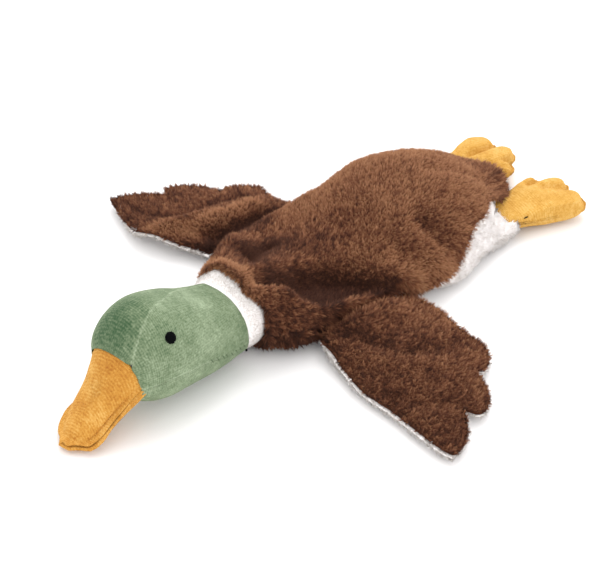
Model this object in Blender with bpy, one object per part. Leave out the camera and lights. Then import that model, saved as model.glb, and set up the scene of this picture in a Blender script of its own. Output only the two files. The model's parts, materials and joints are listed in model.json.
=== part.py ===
"""A plush duck that lies on its belly: sewn cloth panels round loose fillings.

Metres, +Z up. The head points along -Y and the tail along +Y. The origin is the
middle of the flat patch that the belly rests on.
"""
import math

import bmesh
import bpy
from mathutils import Vector

# Cloths and the gaps between pieces
PLUSH_THICKNESS = 0.0034
VELVET_THICKNESS = 0.0016
CLEARANCE = 0.0004
REST_CUT = 0.0005

# Body, from the hood's mouth at the neck to the tip of the tail
BODY_LENGTH = 0.181
BODY_WIDTH = 0.090
BODY_HEIGHT = 0.048
BODY_FRONT_Y = -0.095
NECK_SIDESTEP = 0.014
BREAST_LENGTH = 0.040

# Neck
NECK_WIDTH = 0.044
NECK_HEIGHT = 0.037
NECK_OVERLAP = 0.003
NECK_CORE_WIDTH_SHARE = 0.90
NECK_CORE_HEIGHT_SHARE = 0.74
RING_LENGTH = 0.0145
RING_SWELL_SHARE = 0.05
HEAD_YAW = math.radians(10.0)

# Head
HEAD_LENGTH = 0.067
HEAD_WIDTH = 0.050
HEAD_HEIGHT = 0.058
HEAD_ROLL = math.radians(24.0)
EYE_DIAMETER = 0.0062
EYE_HEIGHT = 0.0011
EYE_SHARE = 0.73
EYE_ANGLE_SHARE = 0.175

# Beak
BEAK_LENGTH = 0.0295
BEAK_WIDTH = 0.036
LIP_WIDTH = 0.0040
LIP_THICKNESS = 0.0022
LIP_TAPER_SHARE = 0.35
LIP_TAPER_BASE = 0.35

# Wings
WING_SEAM_GAP = 0.005
WING_HINGE_X = BODY_WIDTH / 2 + WING_SEAM_GAP
WING_HINGE_Z = 0.0068
WING_ROOT_Y = -0.067
WING_CHORD = 0.064
WING_ROOT_RADIUS = 0.0045
WING_RIM = 0.0016
TRAILING_HOLLOW = 0.005
LEFT_WING_SPAN = 0.098
RIGHT_WING_SPAN = 0.070
LEFT_WING_SWEEP = 0.0
RIGHT_WING_SWEEP = 0.014
RIGHT_WING_FOLD = 0.0075
LEFT_WING_BOW = 0.004
RIGHT_WING_BOW = 0.011

# Legs and feet
LEG_X = 0.0235
LEG_WIDTH = 0.025
LEG_HEIGHT = 0.015
LEG_LENGTH = 0.030
TAIL_OVERHANG = 0.007
FOOT_HINGE_Y = BODY_FRONT_Y + BODY_LENGTH - TAIL_OVERHANG
FOOT_HINGE_Z = 0.0082
FOOT_ROOT_RADIUS = 0.0052
FOOT_ROOT_WIDTH = 0.021
FOOT_LENGTH = 0.044
FOOT_WIDTH = 0.038
FOOT_SPLAY = 0.0006
TOE_CHANNEL_DEPTH = 0.0028

# Shares of the body's length, then of its width and height. The columns are: place
# along, sideways bend towards the neck, half width, top, widest level, bottom, and
# how far round from the widest level the side seam climbs, as a share of a quarter.
BODY_SHARES = (
    (0.000, 1.00, 0.308, 1.020, 0.480, 0.010, 0.02),
    (0.065, 0.64, 0.415, 0.880, 0.300, 0.000, 0.02),
    (0.130, 0.24, 0.465, 0.720, 0.180, 0.000, 0.02),
    (0.240, 0.00, 0.497, 0.600, 0.145, 0.000, 0.02),
    (0.360, 0.00, 0.500, 0.650, 0.145, 0.000, 0.02),
    (0.480, 0.00, 0.500, 0.820, 0.145, 0.000, 0.04),
    (0.530, 0.00, 0.504, 0.900, 0.148, 0.000, 0.08),
    (0.590, 0.00, 0.543, 0.965, 0.152, 0.000, 0.15),
    (0.650, 0.00, 0.540, 1.000, 0.156, 0.000, 0.23),
    (0.730, 0.00, 0.475, 0.990, 0.165, 0.000, 0.32),
    (0.810, 0.00, 0.385, 0.880, 0.200, 0.000, 0.42),
    (0.870, 0.00, 0.290, 0.720, 0.280, 0.070, 0.42),
    (0.920, 0.00, 0.205, 0.590, 0.330, 0.180, 0.32),
    (0.965, 0.00, 0.120, 0.480, 0.370, 0.280, 0.16),
    (1.000, 0.00, 0.040, 0.420, 0.370, 0.320, 0.05),
)
BODY_ROW_SHARES = (0.0, 0.035, 0.070, 0.135, 0.17, 0.215, 0.26, 0.305, 0.35, 0.40, 0.46, 0.52,
                   0.58, 0.64, 0.70, 0.76, 0.82, 0.87, 0.91, 0.95, 0.98, 1.0)
BODY_FILLING_END_SHARE = 0.87

# Hollows that the slack back falls into: shares of the body's length along, of its
# width aside, the turn of the long way, shares of the length for the long and the
# short reach, and a share of the height for the depth.
HOLLOW_SHARES = (
    (0.290, 0.225, 0.72, 0.120, 0.052, 0.190),
    (0.230, -0.225, 0.10, 0.075, 0.040, 0.100),
    (0.640, 0.320, -0.35, 0.070, 0.035, 0.060),
)

# Shares of the head's length, half width and height: along, half width, top,
# widest level, bottom, then the angle shares of the crown's and the chin's seams,
# which the whole head's roll turns.
HEAD_SHARES = (
    (0.00, 0.84, 0.664, 0.335, 0.047, 0.04, 0.330),
    (0.17, 0.90, 0.728, 0.354, 0.065, 0.06, 0.310),
    (0.36, 0.97, 0.836, 0.382, 0.084, 0.17, 0.250),
    (0.56, 1.00, 0.948, 0.428, 0.093, 0.33, 0.235),
    (0.76, 0.98, 1.000, 0.466, 0.112, 0.45, 0.240),
    (0.90, 0.88, 0.914, 0.466, 0.150, 0.595, 0.265),
    (1.00, 0.74, 0.728, 0.428, 0.215, 0.72, 0.220),
)
HEAD_ROW_SHARES = (0.0, 0.12, 0.26, 0.42, 0.58, 0.72, 0.84, 0.93, 1.0)

# Shares of the beak's length, half width and the head's height: along, half width,
# top, widest level, bottom, then the share of the head's roll that is left and the
# angle share by which the lip lies below the rolled middle.
BEAK_SHARES = (
    (0.00, 0.98, 0.700, 0.420, 0.215, 1.00, 0.220),
    (0.20, 0.75, 0.530, 0.300, 0.130, 0.90, 0.150),
    (0.45, 0.65, 0.375, 0.180, 0.066, 0.75, 0.060),
    (0.70, 0.58, 0.255, 0.105, 0.037, 0.50, 0.020),
    (0.88, 0.50, 0.170, 0.070, 0.028, 0.28, 0.000),
    (0.96, 0.37, 0.122, 0.066, 0.028, 0.20, 0.000),
    (1.00, 0.18, 0.084, 0.066, 0.042, 0.20, 0.000),
)
BEAK_ROW_SHARES = (0.0, 0.15, 0.32, 0.50, 0.66, 0.80, 0.90, 0.96, 1.0)
BEAK_FILLING_END_SHARE = 0.66

# Shares of the wing's span and chord along the feathered tip, from front to rear
WING_TIP_SHARES = (
    (0.960, -0.100), (1.000, -0.070), (0.990, 0.020), (0.945, 0.130), (0.890, 0.220),
    (0.790, 0.315), (0.850, 0.345), (0.865, 0.400), (0.840, 0.480), (0.790, 0.560),
    (0.700, 0.640), (0.600, 0.675), (0.625, 0.720), (0.615, 0.790), (0.560, 0.880),
    (0.470, 0.955),
)
WING_ROW_SHARES = (0.0, 0.20, 0.35, 0.52, 0.78, 1.0)
WING_FOLD_SHARES = (0.35, 0.15)

# Shares of the foot's length and width along the toes, from the outer to the inner
TOE_SHARES = (
    (0.66, 0.49), (0.77, 0.53), (0.87, 0.46), (0.93, 0.33), (0.91, 0.18),
    (0.85, 0.09), (0.965, 0.00), (1.00, -0.13), (0.92, -0.24), (0.76, -0.28),
    (0.78, -0.38), (0.69, -0.47), (0.54, -0.49),
)
TOE_NOTCHES = (5, 9)
TOE_CHANNEL_REACH_SHARE = 0.8
FOOT_ROW_SHARES = (0.0, 0.22, 0.46, 0.70, 0.89, 1.0)
FOOT_FILLING_END_SHARE = 0.70
FOOT_FILLING_COLUMNS = (2, 10)

# How far round the hinge's roll a panel's inner edges lie, as shares of a quarter
WING_ROLL_SHARES = (0.83, 0.50)
FOOT_ROLL_SHARES = (0.88, 0.50)
LEG_TAPER_SHARES = ((0.0, 1.0), (0.35, 0.965), (0.7, 0.93), (0.9, 0.91), (1.0, 0.90))
EYE_DOME_SHARES = ((0.0, 0.80), (0.35, 1.0), (0.80, 0.72), (1.0, 0.30))
NECK_END_SHARES = (0.0, 0.35, 0.65, 0.87, 0.98)

# The most of a form's half height or width that a wall takes where the form is thin
THIN_SHARE = 0.42

UPPER_FULLNESS = 2.3
BELLY_FULLNESS = 3.0
HEAD_FULLNESS = 2.15
BEAK_FULLNESS = 2.0
QUARTER = math.pi / 2

# Points across a panel or round a ring
BACK_COLUMNS = 15
BELLY_COLUMNS = 11
NECK_COLUMNS = 20
CORE_COLUMNS = 12
HEAD_SIDE_COLUMNS = 7
HEAD_STRIP_COLUMNS = 9
HEAD_FILLING_COLUMNS = 20
HEAD_FILLING_ROWS = 8
EYE_COLUMNS = 12
BEAK_COLUMNS = 9
LEG_COLUMNS = 12
GUIDE_COLUMNS = 32

BROWN = (0.105, 0.042, 0.022, 1.0)
WHITE = (0.83, 0.77, 0.73, 1.0)
GREEN = (0.26, 0.36, 0.22, 1.0)
YELLOW = (0.76, 0.38, 0.07, 1.0)
BLACK = (0.006, 0.006, 0.007, 1.0)
WADDING = (0.80, 0.79, 0.75, 1.0)


def clear_scene():
    """Empty the file that the script runs in."""
    for thing in list(bpy.data.objects):
        bpy.data.objects.remove(thing)


def material(name, colour, roughness):
    """A plain surface with the cloth's colour."""
    made = bpy.data.materials.new(name)
    made.use_nodes = True
    shader = made.node_tree.nodes["Principled BSDF"]
    shader.inputs["Base Color"].default_value = colour
    shader.inputs["Roughness"].default_value = roughness
    shader.inputs["Metallic"].default_value = 0.0
    return made


def empty(name, place, parent=None):
    """A joint's pivot, in world coordinates."""
    pivot = bpy.data.objects.new(name, None)
    bpy.context.collection.objects.link(pivot)
    pivot.parent = parent
    offset = parent.matrix_world.translation if parent else Vector()
    pivot.location = Vector(place) - offset
    bpy.context.view_layer.update()
    return pivot


def solid(name, points, faces, surface, pivot):
    """One closed body, its origin on the pivot that it moves about."""
    centre = pivot.matrix_world.translation
    mesh = bpy.data.meshes.new(name)
    mesh.from_pydata([Vector(p) - centre for p in points], [], faces)
    work = bmesh.new()
    work.from_mesh(mesh)
    bmesh.ops.recalc_face_normals(work, faces=work.faces)
    work.to_mesh(mesh)
    work.free()
    mesh.shade_smooth()
    mesh.set_sharp_from_angle(angle=math.radians(50))
    mesh.materials.append(surface)
    made = bpy.data.objects.new(name, mesh)
    bpy.context.collection.objects.link(made)
    made.parent = pivot
    bpy.context.view_layer.update()
    return made


def cut(piece, cutter):
    """Take the cutter's shape out of a piece and keep the cutter as a guide."""
    modifier = piece.modifiers.new("cut_by_" + cutter.name, "BOOLEAN")
    modifier.operation = "DIFFERENCE"
    modifier.object = cutter
    cutter.hide_render = True
    cutter.display_type = "WIRE"


def smooth(table, column, place):
    """Read one column of a table of stations by a curve through its rows."""
    last = len(table) - 1
    at = max(i for i in range(last) if table[i][0] <= place or i == 0)
    before, low = table[max(at - 1, 0)], table[at]
    high, after = table[at + 1], table[min(at + 2, last)]
    width = high[0] - low[0]
    slope_low = (high[column] - before[column]) / (high[0] - before[0])
    slope_high = (after[column] - low[column]) / (after[0] - low[0])
    t = (place - low[0]) / width
    rest = 1 - t
    return (rest * rest * (1 + 2 * t) * low[column] + t * t * (3 - 2 * t) * high[column]
            + t * rest * (rest * slope_low - t * slope_high) * width)


def grid_faces(rows, columns, start=0, closed=False):
    """Triangles of a grid of points that are listed row by row.

    Every square has the same diagonal, so that nested grids stay a wall apart.
    """
    across = columns if closed else columns - 1
    faces = []
    for row in range(rows - 1):
        for column in range(across):
            after = (column + 1) % columns
            low, high = start + row * columns, start + (row + 1) * columns
            faces.append((low + column, low + after, high + after))
            faces.append((low + column, high + after, high + column))
    return faces


def border(rows, columns, start=0):
    """Indices round the edge of a grid, in order."""
    top = [start + c for c in range(columns)]
    right = [start + r * columns + columns - 1 for r in range(1, rows)]
    bottom = [start + (rows - 1) * columns + c for c in range(columns - 2, -1, -1)]
    left = [start + r * columns for r in range(rows - 2, 0, -1)]
    return top + right + bottom + left


def sheet_solid(name, outer, inner, surface, pivot):
    """Close the space between two grids that have the same rows and columns."""
    rows, columns = len(outer), len(outer[0])
    points = [p for row in outer for p in row] + [p for row in inner for p in row]
    count = rows * columns
    faces = grid_faces(rows, columns)
    faces += [tuple(reversed(f)) for f in grid_faces(rows, columns, count)]
    edge = border(rows, columns)
    for here, there in zip(edge, edge[1:] + edge[:1]):
        faces.append((there, here, here + count, there + count))
    return solid(name, points, faces, surface, pivot)


def tube_solid(name, rings, surface, pivot):
    """A filled form: closed rings with a flat cap at each end."""
    columns = len(rings[0])
    points = [p for ring in rings for p in ring]
    faces = grid_faces(len(rings), columns, closed=True)
    faces.append(tuple(reversed(range(columns))))
    faces.append(tuple(range(len(points) - columns, len(points))))
    return solid(name, points, faces, surface, pivot)


def sleeve_solid(name, outer, inner, surface, pivot):
    """A tube with a wall: outer and inner rings joined at both mouths."""
    rows, columns = len(outer), len(outer[0])
    points = [p for ring in outer for p in ring] + [p for ring in inner for p in ring]
    count = rows * columns
    faces = grid_faces(rows, columns, closed=True)
    faces += [tuple(reversed(f)) for f in grid_faces(rows, columns, count, closed=True)]
    for row in (0, rows - 1):
        for column in range(columns):
            here = row * columns + column
            there = row * columns + (column + 1) % columns
            faces.append((here, there, there + count, here + count))
    return solid(name, points, faces, surface, pivot)


def oval(angle, half_width, rise, drop, fullness, low_fullness):
    """Sideways and upward reach of a full oval at an angle from its +X side."""
    cosine, sine = math.cos(angle), math.sin(angle)
    power = 2 / (fullness if sine >= 0 else low_fullness)
    side = math.copysign(abs(cosine) ** power, cosine) * half_width
    reach = rise if sine >= 0 else drop
    return side, math.copysign(abs(sine) ** power, sine) * reach


class Body:
    """The torso's cloth form, read by a share of its length and an angle."""

    neck_middle = Vector((NECK_SIDESTEP, BODY_FRONT_Y,
                          PLUSH_THICKNESS + 3 * CLEARANCE + NECK_HEIGHT / 2))

    def seam(self, along):
        return smooth(BODY_SHARES, 6, along) * QUARTER

    def mouth(self):
        """Half width, top and bottom of the hood's mouth, which fits the neck."""
        wall = PLUSH_THICKNESS + 2 * CLEARANCE
        half = NECK_WIDTH / 2 + wall
        middle = self.neck_middle.z
        return half, middle + NECK_HEIGHT / 2 + wall, middle, middle - NECK_HEIGHT / 2 - wall

    def section(self, along):
        """Middle, half width, top, widest level and bottom at a share of the length."""
        side = smooth(BODY_SHARES, 1, along) * NECK_SIDESTEP
        half = smooth(BODY_SHARES, 2, along) * BODY_WIDTH
        top, level, bottom = (smooth(BODY_SHARES, c, along) * BODY_HEIGHT for c in (3, 4, 5))
        near = max(0.0, 1 - along / BODY_SHARES[1][0])
        fit = self.mouth()
        half = half + (fit[0] - half) * near
        top = top + (fit[1] - top) * near
        level = level + (fit[2] - level) * near
        bottom = bottom + (fit[3] - bottom) * near
        return side, half, top, level, max(bottom, 0.0)

    def point(self, along, angle, inset=0.0):
        """A point on the form, or that far inside it."""
        side, half, top, level, bottom = self.section(along)
        thin = min(inset, (top - bottom) / 2 * THIN_SHARE)
        cut_low = REST_CUT if bottom == 0.0 else 0.0
        x, z = oval(angle, half - thin, top - level - thin, level - bottom + cut_low - thin,
                    UPPER_FULLNESS, BELLY_FULLNESS)
        height = max(level + z, bottom + thin)
        if z > 0:
            height -= self.hollow(along, side + x) * min(1.0, 2 * z / (top - level))
        return Vector((side + x, BODY_FRONT_Y + along * BODY_LENGTH, height))

    def hollow(self, along, x):
        """How far the back sinks at a place."""
        depth = 0.0
        for middle, aside, turn, long_reach, short_reach, deep in HOLLOW_SHARES:
            ahead = (along - middle) * BODY_LENGTH
            across = x - aside * BODY_WIDTH
            one = (ahead * math.cos(turn) + across * math.sin(turn)) / (long_reach * BODY_LENGTH)
            two = (across * math.cos(turn) - ahead * math.sin(turn)) / (short_reach * BODY_LENGTH)
            depth += deep * BODY_HEIGHT * math.exp(-one * one - two * two)
        return depth

    def patch(self, rows, ends, columns, inset):
        """A grid between two seams, whose angles at each row the function ends gives."""
        grid = []
        for along in rows:
            first, last = ends(along)
            spread = [first + (last - first) * c / (columns - 1) for c in range(columns)]
            grid.append([self.point(along, angle, inset) for angle in spread])
        return grid


def seam_step(body, along):
    """Half the angle that the gap between two panels takes at a side seam."""
    side, half, top, level, bottom = body.section(along)
    return CLEARANCE / min(half, top - bottom)


def make_body(body, root, brown, white, wadding):
    """Back with its tail, breast, belly and the loose filling between them."""
    first = (neck_core_width() / 2 + CLEARANCE) / BODY_LENGTH
    rows = sorted({*BODY_ROW_SHARES, first})

    def over(along):
        turn = body.seam(along) + seam_step(body, along)
        return turn, math.pi - turn

    def under(along):
        turn = body.seam(along) - seam_step(body, along)
        return math.pi - turn, 2 * math.pi + turn

    back = [body.patch(rows, over, BACK_COLUMNS, inset) for inset in (0.0, PLUSH_THICKNESS)]
    sheet_solid("back_panel", *back, brown, root)

    split = BREAST_LENGTH / BODY_LENGTH
    gap = CLEARANCE / BODY_LENGTH
    front = [a for a in rows if a < split - gap] + [split - gap]
    rear = [split + gap] + [a for a in rows if a > split + gap]
    breast = [body.patch(front, under, BELLY_COLUMNS, inset) for inset in (0.0, PLUSH_THICKNESS)]
    sheet_solid("breast_panel", *breast, brown, root)
    belly = [body.patch(rear, under, BELLY_COLUMNS, inset) for inset in (0.0, PLUSH_THICKNESS)]
    sheet_solid("belly_panel", *belly, white, root)

    depth = PLUSH_THICKNESS + 2 * CLEARANCE
    inside = [a for a in rows if first <= a <= BODY_FILLING_END_SHARE]
    upper = body.patch(inside, over, BACK_COLUMNS, depth)
    lower = body.patch(inside, under, BELLY_COLUMNS, depth)
    rings = [top + bottom for top, bottom in zip(upper, lower)]
    tube_solid("body_filling", rings, wadding, root)


def neck_core_width():
    """Width of the neck's filling, clear of the ring when the head turns."""
    return (NECK_WIDTH - 2 * PLUSH_THICKNESS) * NECK_CORE_WIDTH_SHARE


def neck_core_height():
    """Height of the neck's filling, clear of the head's rear edge when it nods."""
    return (NECK_HEIGHT - 2 * PLUSH_THICKNESS) * NECK_CORE_HEIGHT_SHARE


def round_angles(count):
    """Angles that share out a full turn."""
    return [2 * math.pi * c / count for c in range(count)]


class Axis:
    """A straight line through the neck and the head: forward, aside and up."""

    def __init__(self, origin, yaw):
        self.origin = Vector(origin)
        self.forward = Vector((math.sin(yaw), -math.cos(yaw), 0))
        self.aside = Vector((math.cos(yaw), math.sin(yaw), 0))

    def place(self, along, side, height):
        spot = self.origin + self.forward * along + self.aside * side
        return Vector((spot.x, spot.y, height))


def make_neck(axis, turn, white, wadding):
    """The white ring and the filling that bends inside it."""
    middle = axis.origin.z

    def ring_row(share, inset):
        """One ring; the rear ones lie square to the body, the front ones to the head."""
        ahead = max(share, 0.0)
        swell = 1 + RING_SWELL_SHARE * math.sin(math.pi * ahead)
        spots = []
        for angle in round_angles(NECK_COLUMNS):
            side, rise = oval(angle, NECK_WIDTH / 2 - inset, NECK_HEIGHT / 2 - inset,
                              NECK_HEIGHT / 2 - inset, UPPER_FULLNESS, UPPER_FULLNESS)
            skew = (1 - ahead) * side * math.sin(HEAD_YAW)
            spots.append(axis.place(share * RING_LENGTH + skew, side * swell,
                                    middle + rise * swell))
        return spots

    thirds = (1 / 3, 2 / 3)
    shares = [-NECK_OVERLAP / RING_LENGTH, 0.0, *thirds, 1 - CLEARANCE / RING_LENGTH]
    sleeve_solid("neck_ring", [ring_row(s, 0.0) for s in shares],
                 [ring_row(s, PLUSH_THICKNESS) for s in shares], white, turn)

    wide, high = neck_core_width() / 2, neck_core_height() / 2
    ends = [(-share * wide, share) for share in reversed(NECK_END_SHARES)]
    ends += [(RING_LENGTH + share * high, share) for share in NECK_END_SHARES]
    rings = []
    for along, share in ends:
        shrink = math.sqrt(1 - share * share)
        rings.append([axis.place(along, shrink * wide * math.cos(angle),
                                 middle + shrink * high * math.sin(angle))
                      for angle in round_angles(CORE_COLUMNS)])
    tube_solid("neck_filling", rings, wadding, turn)


class Head:
    """The head's cloth form along the axis from the ring to the beak."""

    def __init__(self, axis):
        self.axis = axis

    def point(self, share, angle, inset=0.0):
        half = smooth(HEAD_SHARES, 1, share) * HEAD_WIDTH / 2 - inset
        top, level, bottom = (smooth(HEAD_SHARES, c, share) * HEAD_HEIGHT for c in (2, 3, 4))
        side, rise = oval(angle, half, top - level - inset, level - bottom - inset,
                          HEAD_FULLNESS, HEAD_FULLNESS)
        along = CLEARANCE + share * (HEAD_LENGTH - 2 * CLEARANCE)
        return self.axis.place(along, side, level + rise)

    def crown(self, share):
        """Angle of the seam between the crown and a side."""
        return QUARTER * (1 - smooth(HEAD_SHARES, 5, share))

    def chin(self, share):
        """Angle below the widest level of the seam between a side and the chin."""
        return QUARTER * smooth(HEAD_SHARES, 6, share)

    def patch(self, start, stop, columns, inset):
        grid = []
        for share in HEAD_ROW_SHARES:
            first, last = start(share) + HEAD_ROLL, stop(share) + HEAD_ROLL
            spread = [first + (last - first) * c / (columns - 1) for c in range(columns)]
            grid.append([self.point(share, angle, inset) for angle in spread])
        return grid


def make_head(axis, nod, green, black, wadding):
    """Crown, two sides, chin, filling and two stitched eyes."""
    head = Head(axis)
    step = CLEARANCE / (HEAD_WIDTH / 2)
    half_turn = math.pi
    panels = (
        ("head_crown", HEAD_STRIP_COLUMNS,
         lambda s: head.crown(s) + step, lambda s: half_turn - head.crown(s) - step),
        ("head_left_side", HEAD_SIDE_COLUMNS,
         lambda s: step - head.chin(s), lambda s: head.crown(s) - step),
        ("head_right_side", HEAD_SIDE_COLUMNS,
         lambda s: half_turn - head.crown(s) + step, lambda s: half_turn + head.chin(s) - step),
        ("head_chin", HEAD_STRIP_COLUMNS,
         lambda s: half_turn + head.chin(s) + step, lambda s: 2 * half_turn - head.chin(s) - step),
    )
    for name, columns, start, stop in panels:
        outer = head.patch(start, stop, columns, 0.0)
        inner = head.patch(start, stop, columns, VELVET_THICKNESS)
        sheet_solid(name, outer, inner, green, nod)

    depth = VELVET_THICKNESS + 2 * CLEARANCE
    first = (neck_core_height() / 2 + CLEARANCE) / HEAD_LENGTH
    last = 1 - CLEARANCE / HEAD_LENGTH
    rings = []
    for row in range(HEAD_FILLING_ROWS):
        share = first + (last - first) * row / (HEAD_FILLING_ROWS - 1)
        rings.append([head.point(share, angle, depth)
                      for angle in round_angles(HEAD_FILLING_COLUMNS)])
    tube_solid("head_filling", rings, wadding, nod)

    angle = EYE_ANGLE_SHARE * QUARTER
    make_eye(head, "left_eye", EYE_SHARE, HEAD_ROLL + angle, black, nod)
    make_eye(head, "right_eye", EYE_SHARE, HEAD_ROLL + math.pi - angle, black, nod)


def make_eye(head, name, share, angle, black, nod):
    """A low stitched dot that lies on a side of the head."""
    nudge = EYE_DIAMETER / HEAD_LENGTH
    spot = head.point(share, angle)
    along = head.point(share + nudge, angle) - head.point(share - nudge, angle)
    around = head.point(share, angle + nudge) - head.point(share, angle - nudge)
    out = around.cross(along).normalized()
    if out.dot(spot - head.point(share, angle, VELVET_THICKNESS)) < 0:
        out = -out
    one = along.normalized()
    two = out.cross(one).normalized()
    rings = []
    for height, width in EYE_DOME_SHARES:
        reach = width * EYE_DIAMETER / 2
        lift = out * (CLEARANCE + height * EYE_HEIGHT)
        rings.append([spot + lift + (one * math.cos(turn) + two * math.sin(turn)) * reach
                      for turn in round_angles(EYE_COLUMNS)])
    tube_solid(name, rings, black, nod)


class Beak:
    """The beak's cloth form ahead of the head, with the sewn lip round it."""

    def __init__(self, axis):
        self.axis = axis
        self.start = HEAD_LENGTH + CLEARANCE

    def values(self, share):
        """Half width, top, widest level and bottom."""
        half = smooth(BEAK_SHARES, 1, share) * BEAK_WIDTH / 2
        return [half] + [smooth(BEAK_SHARES, c, share) * HEAD_HEIGHT for c in (2, 3, 4)]

    def lips(self, share):
        """Angles of the left and the right lip round the section."""
        roll = smooth(BEAK_SHARES, 5, share) * HEAD_ROLL
        sink = smooth(BEAK_SHARES, 6, share) * QUARTER
        return roll - sink, math.pi + roll + sink

    def outline(self, share, angle, inset):
        """A section's point, as sideways reach and height."""
        half, top, level, bottom = self.values(share)
        thin = min(inset, THIN_SHARE * min(top - level, level - bottom))
        side, rise = oval(angle, half - min(inset, THIN_SHARE * half), top - level - thin,
                          level - bottom - thin, BEAK_FULLNESS, BEAK_FULLNESS)
        return side, level + rise

    def bowl(self, share, upward, inset):
        """A section from the left lip to the right one, without the lips' own points."""
        left, right = self.lips(share)
        span = right - left if upward > 0 else right - left - 2 * math.pi
        least = CLEARANCE / 2 if inset else LIP_THICKNESS / 2
        (x1, z1), (x2, z2) = self.outline(share, left, inset), self.outline(share, right, inset)
        row = []
        for column in range(1, BEAK_COLUMNS - 1):
            side, height = self.outline(share, left + span * column / (BEAK_COLUMNS - 1), inset)
            seam = z1 + (z2 - z1) * (side - x1) / (x2 - x1)
            row.append((side, seam + upward * max(least, upward * (height - seam))))
        return row

    def lip(self, share, angle, upward, reach, inset):
        """A point on one lip, on its upper or lower face."""
        out_side, out_up = math.cos(angle), math.sin(angle)
        turn = upward if math.cos(angle) > 0 else -upward
        least = CLEARANCE / 2 if inset else LIP_THICKNESS / 2
        side, height = self.outline(share, angle, inset)
        return (side + out_side * reach - turn * out_up * least,
                height + out_up * reach + turn * out_side * least)

    def panel_row(self, share, upward, inset):
        """A row from lip to lip: outside the cloth, or inside it where inset is set."""
        left, right = self.lips(share)
        half = self.values(share)[0]
        taper = min(1.0, LIP_TAPER_BASE + share / LIP_TAPER_SHARE * (1 - LIP_TAPER_BASE))
        reach = LIP_WIDTH * taper + (min(inset, THIN_SHARE * half) if inset else 0.0)
        points = [self.lip(share, left, upward, reach, inset),
                  self.lip(share, left, upward, 0.0, inset)]
        points += self.bowl(share, upward, inset)
        points += [self.lip(share, right, upward, 0.0, inset),
                   self.lip(share, right, upward, reach, inset)]
        along = self.start + share * BEAK_LENGTH
        return [self.axis.place(along, side, height) for side, height in points]

    def tip_row(self, upward, inset):
        """The lip's front edge."""
        half, top, level, bottom = self.values(1.0)
        tilt = self.lips(1.0)[0]
        least = CLEARANCE / 2 if inset else LIP_THICKNESS / 2
        along = self.start + BEAK_LENGTH + LIP_WIDTH
        last = BEAK_COLUMNS + 1
        row = []
        for column in range(last + 1):
            side = half * math.cos(math.pi * column / last)
            row.append(self.axis.place(along, side, level + side * math.sin(tilt)
                                       + upward * least))
        return row

    def panel(self, upward, inset):
        rows = [self.panel_row(share, upward, inset) for share in BEAK_ROW_SHARES]
        return rows + [self.tip_row(upward, inset)]


def make_beak(axis, nod, yellow, wadding):
    """Domed upper panel and flatter lower panel, sewn at the lip, and the filling."""
    beak = Beak(axis)
    for name, upward in (("beak_upper", 1), ("beak_lower", -1)):
        sheet_solid(name, beak.panel(upward, 0.0), beak.panel(upward, VELVET_THICKNESS),
                    yellow, nod)

    depth = VELVET_THICKNESS + CLEARANCE
    rings = []
    for share in BEAK_ROW_SHARES:
        if share <= BEAK_FILLING_END_SHARE:
            row = beak.bowl(share, 1, depth) + beak.bowl(share, -1, depth)[::-1]
            along = beak.start + share * BEAK_LENGTH
            rings.append([axis.place(along, side, height) for side, height in row])
    tube_solid("beak_filling", rings, wadding, nod)


class Wing:
    """One wing between its hinge at the body and its feathered tip."""

    def __init__(self, side, span, sweep, fold, bow):
        self.side = side
        self.span = span
        self.sweep = sweep
        self.fold = fold
        self.bow = bow

    def plan(self, row_share, column):
        """Place on the floor plan: a share of the way from the root to the tip."""
        tip_out, tip_back = WING_TIP_SHARES[column]
        last = len(WING_TIP_SHARES) - 1
        root_back = column / last
        out = tip_out * self.span * row_share
        back = (root_back + (tip_back - root_back) * row_share) * WING_CHORD
        forward = self.sweep * row_share * tip_out
        forward += self.bow * math.sin(math.pi * row_share) * (1 - root_back) ** 2
        forward += TRAILING_HOLLOW * math.sin(math.pi * row_share) * root_back ** 3
        return WING_HINGE_X + out, WING_ROOT_Y + back - forward

    def half_height(self, row_share, column):
        last = len(WING_TIP_SHARES) - 1
        across = math.sin(math.pi * column / last) ** 0.35
        outward = math.sqrt(max(0.0, 1 - row_share ** 6))
        return WING_RIM + (WING_ROOT_RADIUS - WING_RIM) * across * outward

    def middle(self, row_share, column):
        """Height of the layer between the two cloths, with the right wing's fold."""
        flat = WING_ROOT_RADIUS + CLEARANCE
        base = WING_HINGE_Z + (flat - WING_HINGE_Z) * min(1.0, row_share * 2.5)
        place, reach = WING_FOLD_SHARES
        ridge = math.exp(-((row_share - place) / reach) ** 2) * (row_share > 0)
        back = column / (len(WING_TIP_SHARES) - 1)
        return base + self.fold * ridge * (1 - back ** 3)


def make_wing(name, wing, hinge, brown, white):
    """Brown upper cloth and white under cloth, sewn round the edge."""
    columns = range(len(WING_TIP_SHARES))
    half_gap = CLEARANCE / 2

    def layer(upward, outer):
        grid = []
        for turn_share in WING_ROLL_SHARES:
            turn = turn_share * QUARTER
            row = []
            for column in columns:
                x = WING_HINGE_X - WING_ROOT_RADIUS * math.sin(turn)
                y = WING_ROOT_Y + WING_CHORD * column / columns[-1]
                lift = WING_ROOT_RADIUS * math.cos(turn) if outer else half_gap
                row.append(Vector((wing.side * x, y, WING_HINGE_Z + upward * lift)))
            grid.append(row)
        for share in WING_ROW_SHARES:
            row = []
            for column in columns:
                x, y = wing.plan(share, column)
                lift = wing.half_height(share, column) if outer else half_gap
                if share == 0.0 and outer:
                    lift = WING_ROOT_RADIUS
                row.append(Vector((wing.side * x, y, wing.middle(share, column) + upward * lift)))
            grid.append(row)
        return grid

    sheet_solid(name + "_wing_top", layer(1, True), layer(1, False), brown, hinge)
    sheet_solid(name + "_wing_underside", layer(-1, True), layer(-1, False), white, hinge)


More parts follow.
